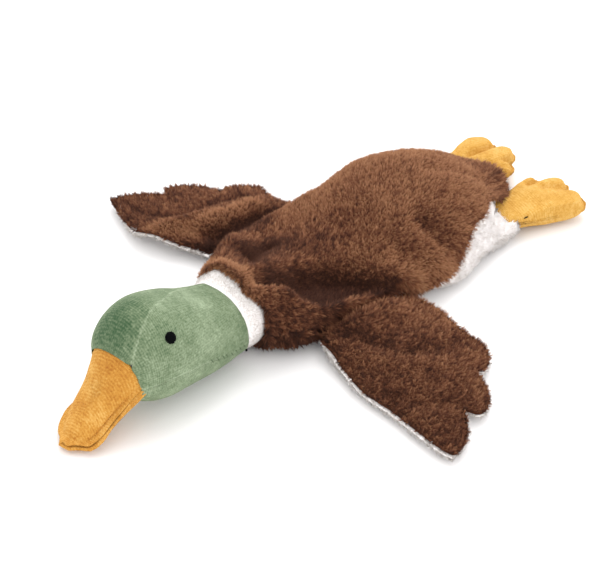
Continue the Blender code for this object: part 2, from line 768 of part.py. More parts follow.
def make_foot(name, side, hinge, yellow, wadding):
    """Top and sole of a webbed foot with three toes, and its filling."""
    columns = range(len(TOE_SHARES))
    last = columns[-1]

    def spot(share, column, shrink):
        """Plan place; shrink draws it in towards the foot's middle line."""
        out_toe, side_toe = TOE_SHARES[column]
        root_side = (0.5 - column / last) * FOOT_ROOT_WIDTH
        toe_side = side_toe * FOOT_WIDTH + FOOT_SPLAY
        out = share * out_toe * FOOT_LENGTH
        across = root_side + (toe_side - root_side) * share ** 0.8
        middle = FOOT_SPLAY * share
        half = max(abs(across - middle), shrink)
        across = middle + math.copysign(half - shrink, across - middle)
        return side * (LEG_X + across), FOOT_HINGE_Y + out

    def across_share(column):
        """How full the foot is between its two sides."""
        return math.sqrt(max(0.0, 1 - (2 * column / last - 1) ** 4))

    def rise(share, column):
        along = math.sqrt(max(0.0, 1 - share ** 5))
        full = FOOT_ROOT_RADIUS * across_share(column) * along
        channel = sum(math.exp(-((column - notch) / TOE_CHANNEL_REACH_SHARE) ** 2)
                      for notch in TOE_NOTCHES)
        return max(0.0, full - TOE_CHANNEL_DEPTH * channel * along * share ** 1.5)

    def layer(upward, inset, gap, rolls=FOOT_ROLL_SHARES, rows=FOOT_ROW_SHARES):
        """A grid of one cloth's face, from the roll at the hinge to the toes."""
        grid = []
        for roll_share in rolls:
            turn = roll_share * QUARTER
            row = []
            for column in columns:
                x, y = spot(0.0, column, inset)
                reach = FOOT_ROOT_RADIUS - inset
                lift = reach * math.cos(turn) * across_share(column)
                row.append(Vector((x, y - reach * math.sin(turn),
                                   FOOT_HINGE_Z + upward * (lift + gap))))
            grid.append(row)
        for share in rows:
            row = []
            for column in columns:
                x, y = spot(share * (1 - inset / FOOT_LENGTH), column, inset)
                lift = max(0.0, rise(share, column) - inset)
                row.append(Vector((x, y, FOOT_HINGE_Z + upward * (lift + gap))))
            grid.append(row)
        return grid

    half_gap = CLEARANCE / 2
    for part, upward in (("_foot_top", 1), ("_foot_sole", -1)):
        sheet_solid(name + part, layer(upward, 0.0, half_gap),
                    layer(upward, VELVET_THICKNESS, half_gap), yellow, hinge)

    depth = VELVET_THICKNESS + CLEARANCE
    rows = [share for share in FOOT_ROW_SHARES if share <= FOOT_FILLING_END_SHARE]
    first, stop = FOOT_FILLING_COLUMNS[0], FOOT_FILLING_COLUMNS[1] + 1
    faces = [[row[first:stop] for row in layer(upward, depth, 0.0, (), rows)]
             for upward in (1, -1)]
    sheet_solid(name + "_foot_filling", *faces, wadding, hinge)


def make_leg(name, side, root, white, wadding, body):
    """A short plush leg from under the tail to the foot, cut by the body."""
    rear = FOOT_HINGE_Y - FOOT_ROOT_RADIUS - CLEARANCE
    level = LEG_HEIGHT / 2 + CLEARANCE

    def rings(inset):
        made = []
        for share, taper in LEG_TAPER_SHARES:
            y = rear - LEG_LENGTH * (1 - share)
            ring = []
            for angle in round_angles(LEG_COLUMNS):
                x, z = oval(angle, LEG_WIDTH / 2 * taper - inset, LEG_HEIGHT / 2 - inset,
                            LEG_HEIGHT / 2 - inset, UPPER_FULLNESS, UPPER_FULLNESS)
                ring.append(Vector((side * (LEG_X + x), y, level + z)))
            made.append(ring)
        return made

    cut(sleeve_solid(name + "_leg", rings(0.0), rings(PLUSH_THICKNESS), white, root), body)
    core = rings(PLUSH_THICKNESS + CLEARANCE)
    cut(tube_solid(name + "_leg_filling", core, wadding, root), body)


def make_body_hull(body, root, surface):
    """A guide: the body with the gap that its neighbours keep to it."""
    rings = []
    for along in BODY_ROW_SHARES:
        rings.append([body.point(along, angle, -CLEARANCE)
                      for angle in round_angles(GUIDE_COLUMNS)])
    return tube_solid("body_hull_guide", rings, surface, root)


def main():
    clear_scene()
    brown = material("brown_plush", BROWN, 0.95)
    white = material("white_plush", WHITE, 0.95)
    green = material("green_velvet", GREEN, 0.85)
    yellow = material("yellow_velvet", YELLOW, 0.85)
    black = material("black_thread", BLACK, 0.6)
    wadding = material("wadding", WADDING, 1.0)

    root = empty("belly_rest", (0, 0, 0))
    body = Body()
    make_body(body, root, brown, white, wadding)

    neck = Axis(body.neck_middle, HEAD_YAW)
    turn = empty("neck_turn", neck.origin, root)
    make_neck(neck, turn, white, wadding)
    head = Axis(neck.origin + neck.forward * RING_LENGTH, HEAD_YAW)
    nod = empty("head_nod", head.origin, turn)
    make_head(head, nod, green, black, wadding)
    make_beak(head, nod, yellow, wadding)

    guide = make_body_hull(body, root, wadding)
    for name, side, span, sweep, fold, bow in (
            ("left", 1, LEFT_WING_SPAN, LEFT_WING_SWEEP, 0.0, LEFT_WING_BOW),
            ("right", -1, RIGHT_WING_SPAN, RIGHT_WING_SWEEP, RIGHT_WING_FOLD, RIGHT_WING_BOW)):
        wing = Wing(side, span, sweep, fold, bow)
        middle = WING_ROOT_Y + WING_CHORD / 2
        hinge = empty(name + "_wing_flap", (side * WING_HINGE_X, middle, WING_HINGE_Z), root)
        make_wing(name, wing, hinge, brown, white)
        make_leg(name, side, root, white, wadding, guide)
        foot = empty(name + "_foot_flap", (side * LEG_X, FOOT_HINGE_Y, FOOT_HINGE_Z), root)
        make_foot(name, side, foot, yellow, wadding)


main()
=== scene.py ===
"""Looks of the plush duck: its cloths, pile, seams and stitches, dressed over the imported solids.

Metres, +Z up, the beak towards -Y. The origin is the middle of the belly's flat patch.
"""
import json
import math

import bmesh
import bpy
import numpy as np
from mathutils import Matrix, Vector, noise
from mathutils.bvhtree import BVHTree


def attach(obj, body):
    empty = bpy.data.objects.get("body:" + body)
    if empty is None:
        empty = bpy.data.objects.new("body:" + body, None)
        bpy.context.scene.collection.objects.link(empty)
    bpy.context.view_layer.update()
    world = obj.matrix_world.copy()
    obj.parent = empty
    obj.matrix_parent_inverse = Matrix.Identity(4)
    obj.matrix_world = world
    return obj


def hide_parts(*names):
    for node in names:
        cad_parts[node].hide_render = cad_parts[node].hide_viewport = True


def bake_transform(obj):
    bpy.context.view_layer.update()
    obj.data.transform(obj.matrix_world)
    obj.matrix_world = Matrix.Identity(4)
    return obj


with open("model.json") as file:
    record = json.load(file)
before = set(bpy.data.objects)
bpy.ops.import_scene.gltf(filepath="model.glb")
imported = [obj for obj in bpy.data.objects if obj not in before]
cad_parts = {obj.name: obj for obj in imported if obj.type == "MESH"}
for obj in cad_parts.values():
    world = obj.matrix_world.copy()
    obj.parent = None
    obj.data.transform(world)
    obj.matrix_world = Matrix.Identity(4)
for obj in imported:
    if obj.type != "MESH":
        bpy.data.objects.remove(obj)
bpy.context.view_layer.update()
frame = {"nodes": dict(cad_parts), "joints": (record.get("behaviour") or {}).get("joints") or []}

# The photograph's camera
IMAGE_WIDTH = 600
IMAGE_HEIGHT = 586
VIEW_AZIMUTH = math.radians(53.0)
VIEW_ELEVATION = math.radians(37.0)
VIEW_WIDTH = math.radians(20.0)
VIEW_DISTANCE = 0.9
AIM_PIXEL = (330.0, 262.0)
AIM_SPOT = Vector((-0.010, -0.020, 0.0))

# Pile and cloth
PLUSH_DEPTH = 0.0024
SEAM_REACH = 0.0011
KNIT_ROW = 0.00094
KNIT_STITCH = 0.0011
STITCH_STEP = 0.0036
NEAR_CLOTH = 0.0015
FLOOR_GAP = 0.0003

DETAIL = 2


# Small helpers

def deselect():
    """Nothing selected and nothing active."""
    if bpy.context.object and bpy.context.object.mode != "OBJECT":
        bpy.ops.object.mode_set(mode="OBJECT")
    bpy.ops.object.select_all(action="DESELECT")
    bpy.context.view_layer.objects.active = None


def pick(piece):
    """Only this piece selected and active."""
    deselect()
    piece.select_set(True)
    bpy.context.view_layer.objects.active = piece


def put_in_scene(name, data):
    """A new object for some data, linked to the scene."""
    made = bpy.data.objects.new(name, data)
    bpy.context.scene.collection.objects.link(made)
    return made


def apply_modifiers(piece):
    pick(piece)
    for modifier in list(piece.modifiers):
        bpy.ops.object.modifier_apply(modifier=modifier.name)


def points_of(piece):
    """The piece's points as an array."""
    points = np.empty(len(piece.data.vertices) * 3)
    piece.data.vertices.foreach_get("co", points)
    return points.reshape(-1, 3)


def normals_of(piece):
    """The piece's point normals as an array."""
    normals = np.empty(len(piece.data.vertices) * 3)
    piece.data.vertex_normals.foreach_get("vector", normals)
    return normals.reshape(-1, 3)


def move_points(piece, points):
    piece.data.vertices.foreach_set("co", np.asarray(points, dtype=np.float32).ravel())
    piece.data.update()


def add_values(mesh, label, values):
    """Keep one number on each point, for the pile or a material."""
    attribute = mesh.attributes.new(label, "FLOAT", "POINT")
    attribute.data.foreach_set("value", np.asarray(values, dtype=np.float32))


def tree_of(*pieces):
    """A search tree over the triangles of some pieces."""
    points, faces = [], []
    for piece in pieces:
        base = len(points)
        points += [v.co.copy() for v in piece.data.vertices]
        piece.data.calc_loop_triangles()
        faces += [[base + i for i in t.vertices] for t in piece.data.loop_triangles]
    return BVHTree.FromPolygons(points, faces, all_triangles=True)


def nodes(*names):
    return [frame["nodes"][name] for name in names]


def joint(name):
    return next(j for j in frame["joints"] if j["name"] == name)


def ease(values, low, high):
    """0 below low, 1 above high and smooth between."""
    t = np.clip((values - low) / (high - low), 0.0, 1.0)
    return t * t * (3 - 2 * t)


def unit(vectors):
    """The same directions at length one."""
    return vectors / np.maximum(np.linalg.norm(vectors, axis=-1), 1e-6)[..., None]


def lump(point, size, seed=0.0):
    """Soft noise from -1 to 1 with lumps of about that size."""
    return noise.noise(Vector(point) / size + Vector((seed, seed * 1.7, seed * 0.6)))


MM = 0.001


def along_line(points, line):
    """Plan distance to a line in millimetres, with its sign: positive left of its run."""
    line = np.array(line) * MM
    best = np.full(len(points), 1.0)
    sign = np.ones(len(points))
    for start, end in zip(line[:-1], line[1:]):
        run = end - start
        gap = points[:, :2] - start
        share = np.clip(gap @ run / (run @ run), 0.0, 1.0)
        away = gap - share[:, None] * run
        far = np.hypot(away[:, 0], away[:, 1])
        turn = run[0] * gap[:, 1] - run[1] * gap[:, 0]
        nearer = far < best
        best[nearer] = far[nearer]
        sign[nearer] = np.sign(turn[nearer])
    return best, sign


def signed(points, line):
    """Plan distance to a line in metres, positive left of its run."""
    far, sign = along_line(points, line)
    return far * sign


def ridge(points, line, height, left, right=None):
    """A rise along a line, with its reach in millimetres on either side."""
    far, sign = along_line(points, line)
    reach = np.where(sign > 0, left, left if right is None else right) * MM
    return height * MM * np.exp(-(far / reach) ** 2)


# The head's own directions
NECK_SPOT = Vector(joint("neck_turn")["pos_m"])
NOD_SPOT = Vector(joint("head_nod")["pos_m"])
FORWARD = (NOD_SPOT - NECK_SPOT).normalized()
ASIDE = Vector((-FORWARD.y, FORWARD.x, 0.0))
HEAD_LONG = 0.067
HEAD_HALF = 0.022


def head_places(points):
    """Along the head, aside and up from the nod's axis, for an array of points."""
    offset = points - np.array(NOD_SPOT)
    return offset @ np.array(FORWARD), offset @ np.array(ASIDE), offset[:, 2]


def head_inward(points):
    """Towards the head's middle line, which falls towards the beak's tip."""
    along, aside, up = head_places(points)
    middle = np.interp(along, (0.0, HEAD_LONG, 0.090, 0.105), (-0.002, 0.003, -0.012, -0.018))
    inward = -(np.outer(aside, np.array(ASIDE)) + np.outer(up - middle, (0.0, 0.0, 1.0)))
    return unit(inward)


def flat_inward(level):
    """Towards a level plane, for flat pieces such as the feet."""
    def inward(points):
        return np.stack([0 * points[:, 0], 0 * points[:, 0], np.sign(level - points[:, 2])], axis=1)
    return inward


# Materials

def shader_of(name, roughness, sheen=0.0, sheen_roughness=0.4, sheen_tint=(1, 1, 1, 1)):
    """A new material with its tree and its shader."""
    made = bpy.data.materials.new(name)
    made.use_nodes = True
    tree = made.node_tree
    shader = tree.nodes["Principled BSDF"]
    shader.inputs["Roughness"].default_value = roughness
    shader.inputs["Specular IOR Level"].default_value = 0.25
    shader.inputs["Sheen Weight"].default_value = sheen
    shader.inputs["Sheen Roughness"].default_value = sheen_roughness
    shader.inputs["Sheen Tint"].default_value = sheen_tint
    return made, tree, shader


def node(tree, kind, **settings):
    made = tree.nodes.new(kind)
    for key, value in settings.items():
        setattr(made, key, value)
    return made


def sums(tree, operation, one, two=None, three=None):
    """A Math node on sockets or numbers."""
    made = node(tree, "ShaderNodeMath", operation=operation)
    for slot, value in enumerate((one, two, three)):
        if value is None:
            continue
        if isinstance(value, (int, float)):
            made.inputs[slot].default_value = value
        else:
            tree.links.new(value, made.inputs[slot])
    return made.outputs[0]


def ramp(tree, factor, stops):
    """Colours by a factor."""
    made = node(tree, "ShaderNodeValToRGB")
    band = made.color_ramp
    while len(band.elements) < len(stops):
        band.elements.new(0.5)
    for element, (place, colour) in zip(band.elements, stops):
        element.position = place
        element.color = (*colour, 1.0)
    tree.links.new(factor, made.inputs["Fac"])
    return made.outputs["Color"]


def mix(tree, factor, one, two, blend="MIX"):
    made = node(tree, "ShaderNodeMix", data_type="RGBA", blend_type=blend)
    for slot, value in ((0, factor), (6, one), (7, two)):
        if isinstance(value, (int, float)):
            made.inputs[slot].default_value = value
        elif isinstance(value, tuple):
            made.inputs[slot].default_value = (*value, 1.0)
        else:
            tree.links.new(value, made.inputs[slot])
    return made.outputs[2]


def grain(tree, scale, detail=2.0, source=None):
    """Noise on the piece's own coordinates, in lumps per metre."""
    made = node(tree, "ShaderNodeTexNoise")
    made.inputs["Scale"].default_value = scale
    made.inputs["Detail"].default_value = detail
    if source is None:
        source = node(tree, "ShaderNodeTexCoord").outputs["Object"]
    tree.links.new(source, made.inputs["Vector"])
    return made.outputs["Fac"]


def bump(tree, shader, height, distance, strength=1.0):
    made = node(tree, "ShaderNodeBump")
    made.inputs["Distance"].default_value = distance
    made.inputs["Strength"].default_value = strength
    tree.links.new(height, made.inputs["Height"])
    tree.links.new(made.outputs["Normal"], shader.inputs["Normal"])


def add_centred(tree, tone, factor, share):
    """Add a share of a factor to a tone, so that the factor's middle changes nothing."""
    return sums(tree, "MULTIPLY_ADD", factor, share, sums(tree, "ADD", tone, -share / 2))


def velvet(name, dark, middle, light):
    """Knitted velvet: faint rows of stitches under a short nap that lies in patches."""
    made, tree, shader = shader_of(name, 0.85, sheen=0.30, sheen_roughness=0.35,
                                   sheen_tint=(*light, 1.0))
    nap = node(tree, "ShaderNodeAttribute", attribute_name="nap").outputs["Fac"]
    patch = grain(tree, 75.0, 3.0)
    grit = grain(tree, 1000.0, 3.0)
    spots = node(tree, "ShaderNodeUVMap", uv_map="weave")
    parts = node(tree, "ShaderNodeSeparateXYZ")
    tree.links.new(spots.outputs["UV"], parts.inputs["Vector"])
    sway = sums(tree, "MULTIPLY_ADD", grain(tree, 240.0, 2.0), 0.7, parts.outputs["X"])
    row = sums(tree, "SINE", sums(tree, "MULTIPLY", sway, 2 * math.pi))
    stitch = sums(tree, "SINE", sums(tree, "MULTIPLY", parts.outputs["Y"], 2 * math.pi))
    knit = sums(tree, "MULTIPLY_ADD", row, 0.13, 0.5)
    knit = sums(tree, "MULTIPLY_ADD", stitch, 0.08, knit)
    knit = add_centred(tree, knit, grit, 1.5)

    crushed = grain(tree, 330.0, 3.0)
    tone = add_centred(tree, nap, patch, 0.70)
    tone = add_centred(tree, tone, crushed, 0.55)
    tone = add_centred(tree, tone, knit, 0.62)
    colour = ramp(tree, tone, [(0.0, dark), (0.5, middle), (1.0, light)])
    tree.links.new(colour, shader.inputs["Base Color"])
    bump(tree, shader, knit, 0.00035, 0.8)
    return made


def pile_surface(name, root, body, tip, shades, sheen):
    """Fibres drawn darker towards their roots, painted shade deep in the pile; each strand has its
    own shade.
    """
    made, tree, shader = shader_of(name, 0.75, sheen=sheen, sheen_roughness=0.5,
                                   sheen_tint=(*tip, 1.0))
    height = node(tree, "ShaderNodeAttribute", attribute_name="height").outputs["Fac"]
    shade = node(tree, "ShaderNodeAttribute", attribute_name="shade").outputs["Fac"]
    # Painted shade: the fibre's colour runs from the dark root to the light tip.
    colour = ramp(tree, height, [(0.0, root), (0.5, body), (1.0, tip)])
    light = ramp(tree, shade, list(zip((0.0, 0.5, 1.0), shades)))
    tree.links.new(mix(tree, 1.0, colour, light, "MULTIPLY"), shader.inputs["Base Color"])
    return made


def ground_surface(name, colour, lighter):
    """The woven ground between the roots of the pile."""
    made, tree, shader = shader_of(name, 0.95)
    fleck = grain(tree, 1400.0, 2.0)
    tree.links.new(ramp(tree, fleck, [(0.3, colour), (0.7, lighter)]),
                   shader.inputs["Base Color"])
    bump(tree, shader, fleck, 0.0004)
    return made


def thread_surface(name, colour, lighter):
    """Thread: fine flecks between two colours, with a faint bump."""
    made, tree, shader = shader_of(name, 0.8)
    shader.inputs["Specular IOR Level"].default_value = 0.04
    fibres = grain(tree, 3500.0, 1.0)
    tree.links.new(ramp(tree, fibres, [(0.3, colour), (0.7, lighter)]),
                   shader.inputs["Base Color"])
    bump(tree, shader, fibres, 0.00008)
    return made


def floor_surface():
    made, _, shader = shader_of("pale_floor", 0.9)
    shader.inputs["Specular IOR Level"].default_value = 0.1
    shader.inputs["Base Color"].default_value = (*FLOOR_TONE, 1.0)
    return made


FLOOR_TONE = (0.90, 0.895, 0.895)
GREEN = dict(dark=(0.038, 0.086, 0.036), middle=(0.158, 0.212, 0.120),
             light=(0.325, 0.40, 0.265))
YELLOW = dict(dark=(0.34, 0.112, 0.010), middle=(0.535, 0.252, 0.040), light=(0.72, 0.44, 0.130))
PALE_YELLOW = dict(dark=(0.40, 0.165, 0.015), middle=(0.57, 0.305, 0.055),
                   light=(0.72, 0.47, 0.155))
# Brown roots drawn near black, painted shade deep in the pile; the shades run from a dark red-brown
# to a lighter, greyer brown and carry the painted shade and highlights of the torso and wings.
BROWN_PILE = dict(root=(0.034, 0.010, 0.005), body=(0.175, 0.064, 0.0275),
                  tip=(0.415, 0.200, 0.097), sheen=0.10,
                  shades=((0.22, 0.150, 0.145), (0.84, 0.725, 0.73), (1.42, 1.50, 1.55)))
WHITE_PILE = dict(root=(0.94, 0.895, 0.875), body=(0.955, 0.915, 0.895),
                  tip=(0.97, 0.94, 0.92), sheen=0.2,
                  shades=((0.74, 0.715, 0.685), (0.97, 0.955, 0.945), (1.0, 1.0, 1.0)))

SURFACES = {
    "green": velvet("green_velvet_nap", **GREEN),
    "yellow": velvet("yellow_velvet_nap", **YELLOW),
    "pale_yellow": velvet("pale_yellow_velvet_nap", **PALE_YELLOW),
    "brown_pile": pile_surface("brown_plush_pile", **BROWN_PILE),
    "white_pile": pile_surface("white_plush_pile", **WHITE_PILE),
    # The brown ground is drawn as dark as the fibres' roots: painted shade under the pile.
    "brown_ground": ground_surface("brown_plush_ground", (0.034, 0.011, 0.006),
                                   (0.105, 0.038, 0.017)),
    "white_ground": ground_surface("white_plush_ground", (0.93, 0.895, 0.88), (0.97, 0.94, 0.925)),
    "fibre": ground_surface("loose_fibre_fill", (0.80, 0.79, 0.76), (0.93, 0.92, 0.90)),
    "black": thread_surface("black_stitch_thread", (0.0008, 0.0009, 0.0011),
                            (0.004, 0.0045, 0.005)),
    "green_thread": thread_surface("green_stitch_thread", (0.045, 0.080, 0.038),
                                   (0.15, 0.21, 0.12)),
}


def dress(piece, surface):
    piece.data.materials.clear()
    piece.data.materials.append(SURFACES[surface])


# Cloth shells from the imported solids

def shell_copy(name, node_name):
    """A node's shell as a new piece: merged, and made of squares again."""
    mesh = frame["nodes"][node_name].data.copy()
    mesh.name = name
    piece = put_in_scene(name, mesh)
    pick(piece)
    bpy.ops.mesh.customdata_custom_splitnormals_clear()
    bpy.ops.object.mode_set(mode="EDIT")
    bpy.ops.mesh.select_all(action="SELECT")
    bpy.ops.mesh.remove_doubles(threshold=0.00002)
    bpy.ops.mesh.tris_convert_to_quads(face_threshold=math.radians(60),
                                       shape_threshold=math.radians(80))
    bpy.ops.mesh.normals_make_consistent(inside=False)
    bpy.ops.object.mode_set(mode="OBJECT")
    return piece


def pad(piece, surface, body, own):
    """A padded piece takes its solid's place on its body."""
    dress(piece, surface)
    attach(piece, body)
    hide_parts(own)


def soften(piece, rim, level, crisp=0.0):
    """Round the rims, or keep them crisp where the seam has to stay shut, and subdivide."""
    if rim:
        edge = piece.modifiers.new("rim", "BEVEL")
        edge.width = rim
        edge.segments = 2
        edge.limit_method = "ANGLE"
        edge.angle_limit = math.radians(52)
    if crisp:
        net = bmesh.new()
        net.from_mesh(piece.data)
        weight = net.edges.layers.float.new("crease_edge")
        for side in net.edges:
            if len(side.link_faces) == 2 and side.calc_face_angle() > math.radians(50):
                side[weight] = crisp
        net.to_mesh(piece.data)
        net.free()
    smooth = piece.modifiers.new("smooth", "SUBSURF")
    smooth.levels = smooth.render_levels = level
    smooth.boundary_smooth = "ALL"
    apply_modifiers(piece)
    bpy.ops.object.shade_smooth()
    return piece


def make_wadding(own, body, shape=None):
    """A filling, softened, and shaped as the cloth round it is."""
    wadding = soften(shell_copy(own.replace("_filling", "_wadding"), own), 0, 1)
    if shape is not None:
        move_points(wadding, shape(points_of(wadding)))
    pad(wadding, "fibre", body, own)


def distances(points, tree, far):
    """Nearest distance to a tree, up to far."""
    found = np.full(len(points), far)
    for at, point in enumerate(points):
        hit = tree.find_nearest(Vector(point), far)
        if hit[0] is not None:
            found[at] = hit[3]
    return found


def depths(piece, reach):
    """How thick the shell is under each point."""
    tree = tree_of(piece)
    points, normals = points_of(piece), normals_of(piece)
    found = np.full(len(points), reach)
    start = 0.00005
    for at, (point, normal) in enumerate(zip(points, normals)):
        inward = -Vector(normal)
        hit = tree.ray_cast(Vector(point) + inward * start, inward, reach)
        if hit[0] is not None:
            found[at] = hit[3]
    return found


def sink(piece, neighbours, depth, inward=None):
    """Draw the outer face in, so that the pile's tips end where the solid does."""
    points, normals = points_of(piece), normals_of(piece)
    near = distances(points, tree_of(*neighbours), 0.003)
    weight = ease(near, 0.0008, 0.0022)
    fall = weight * np.minimum(depth, 0.62 * depths(piece, 0.012))
    way = -normals if inward is None else inward(points)
    move_points(piece, points + way * fall[:, None])
    return weight


def open_points(piece, neighbours, reach=0.004):
    """1 for points with nothing of the neighbours in front of them, otherwise 0."""
    tree = tree_of(*neighbours)
    found = np.ones(len(piece.data.vertices))
    for at, (point, normal) in enumerate(zip(points_of(piece), normals_of(piece))):
        way = Vector(normal)
        if tree.ray_cast(Vector(point) + way * 0.0001, way, reach)[0] is not None:
            found[at] = 0.0
    return found


def torso_inward(points):
    """Towards the body's long middle."""
    way = np.stack([-points[:, 0] / 0.045 ** 2, 0 * points[:, 0],
                    (0.012 - points[:, 2]) / 0.020 ** 2], axis=1)
    return unit(way)


def close_seams(piece, neighbours, reach=SEAM_REACH, share=0.62):
    """Bring a panel's rim just past half way to its neighbour's, so that the seam shuts."""
    points = points_of(piece)
    tree = tree_of(*neighbours)
    for at, point in enumerate(points):
        spot = Vector(point)
        hit = tree.find_nearest(spot, reach)
        if hit[0] is not None:
            points[at] += np.array(hit[0] - spot) * share
    move_points(piece, points)


def ruffle(piece, neighbours, along, inward, valley=0.0004, pucker=0.0003, reach=0.0016,
           swell=0.0):
    """A sewn valley at the seams, tighter at each stitch, with a swelling beside it."""
    points = points_of(piece)
    near = distances(points, tree_of(*neighbours), 4 * reach)
    steps = 0.5 + 0.5 * np.cos(2 * math.pi * along / STITCH_STEP)
    fall = np.exp(-(near / reach) ** 2) * (valley + pucker * steps)
    fall -= swell * np.exp(-((near / reach - 2) / 0.9) ** 2)
    fall *= near < 4 * reach
    move_points(piece, points + inward(points) * fall[:, None])
    return near


def wrinkle(piece, size, height, seed, keep=None):
    """Soft lumps in the cloth, with an even height or one that keep gives by point."""
    points, normals = points_of(piece), normals_of(piece)
    lumps = np.array([lump(point, size, seed) for point in points]) * height
    if keep is not None:
        lumps *= keep(points)
    move_points(piece, points + normals * lumps[:, None])


def add_weave(piece, across, along):
    """A map with one unit a knit row one way and one unit a stitch the other."""
    layer = piece.data.uv_layers.new(name="weave")
    corner = np.empty(len(piece.data.loops), dtype=np.int32)
    piece.data.loops.foreach_get("vertex_index", corner)
    spots = np.stack([along / KNIT_ROW, across / KNIT_STITCH], axis=1)[corner]
    layer.data.foreach_set("uv", spots.astype(np.float32).ravel())


def add_nap(piece, patches, base=0.5, seam=None, seam_painted_light=0.3):
    """How the nap lies: patches are (spot, reach, change); a seam may show as a painted line along
    it, a painted highlight for a positive share and painted shade for a negative one.
    """
    points = points_of(piece)
    nap = np.full(len(points), base)
    if seam is not None:
        nap += seam_painted_light * np.exp(-(seam / 0.0007) ** 2)
    for spot, reach, change in patches:
        gap = np.linalg.norm(points - np.array(spot), axis=1)
        nap += change * np.exp(-(gap / reach) ** 2)
    add_values(piece.data, "nap", nap)


# Pile

EDGE_SHARE = 0.04
NORMAL_UP = 1.0
NORMAL_ALONG = 0.45
NORMAL_ROUND = 0.75
TUFT_VARIETY = 0.36
STRAND_VARIETY = 0.40
CLUSTER_TONE = 0.78
CLUSTER_LENGTH = 0.30


class Pile:
    """Tufts of fibres that stand on a ground cloth."""

    def __init__(self, spacing, strands, length, width, lean, clump, surface, fluff=0.35):
        self.spacing = spacing
        self.strands = strands
        self.length = length
        self.width = width
        self.lean = lean
        self.clump = clump
        self.surface = surface
        self.fluff = fluff


def spread_roots(ground, spacing, keep, draws):
    """Even random places on the ground's outer faces, with their normals."""
    mesh = ground.data
    mesh.calc_loop_triangles()
    corners = np.empty(len(mesh.loop_triangles) * 3, dtype=np.int32)
    mesh.loop_triangles.foreach_get("vertices", corners)
    corners = corners.reshape(-1, 3)
    points, normals = points_of(ground), normals_of(ground)
    outer = np.empty(len(points))
    mesh.attributes["outer"].data.foreach_get("value", outer)
    centres = points[corners].mean(axis=1)
    facing = normals[corners].mean(axis=1)
    used = (outer[corners].mean(axis=1) > EDGE_SHARE) & keep(centres, facing)
    corners = corners[used]
    a, b, c = (points[corners[:, i]] for i in range(3))
    areas = np.linalg.norm(np.cross(b - a, c - a), axis=1) / 2
    many = int(areas.sum() / spacing ** 2 * 3)
    chosen = draws.choice(len(corners), size=many, p=areas / areas.sum())
    u, v = draws.random(many), draws.random(many)
    flip = u + v > 1
    u[flip], v[flip] = 1 - u[flip], 1 - v[flip]
    w = 1 - u - v
    shares = (w[:, None], u[:, None], v[:, None])
    picked = corners[chosen]
    roots = sum(points[picked[:, i]] * shares[i] for i in range(3))
    ups = unit(sum(normals[picked[:, i]] * shares[i] for i in range(3)))
    cells = np.floor(roots / spacing).astype(np.int64)
    first = np.unique(cells, axis=0, return_index=True)[1]
    first.sort()
    return roots[first], ups[first]


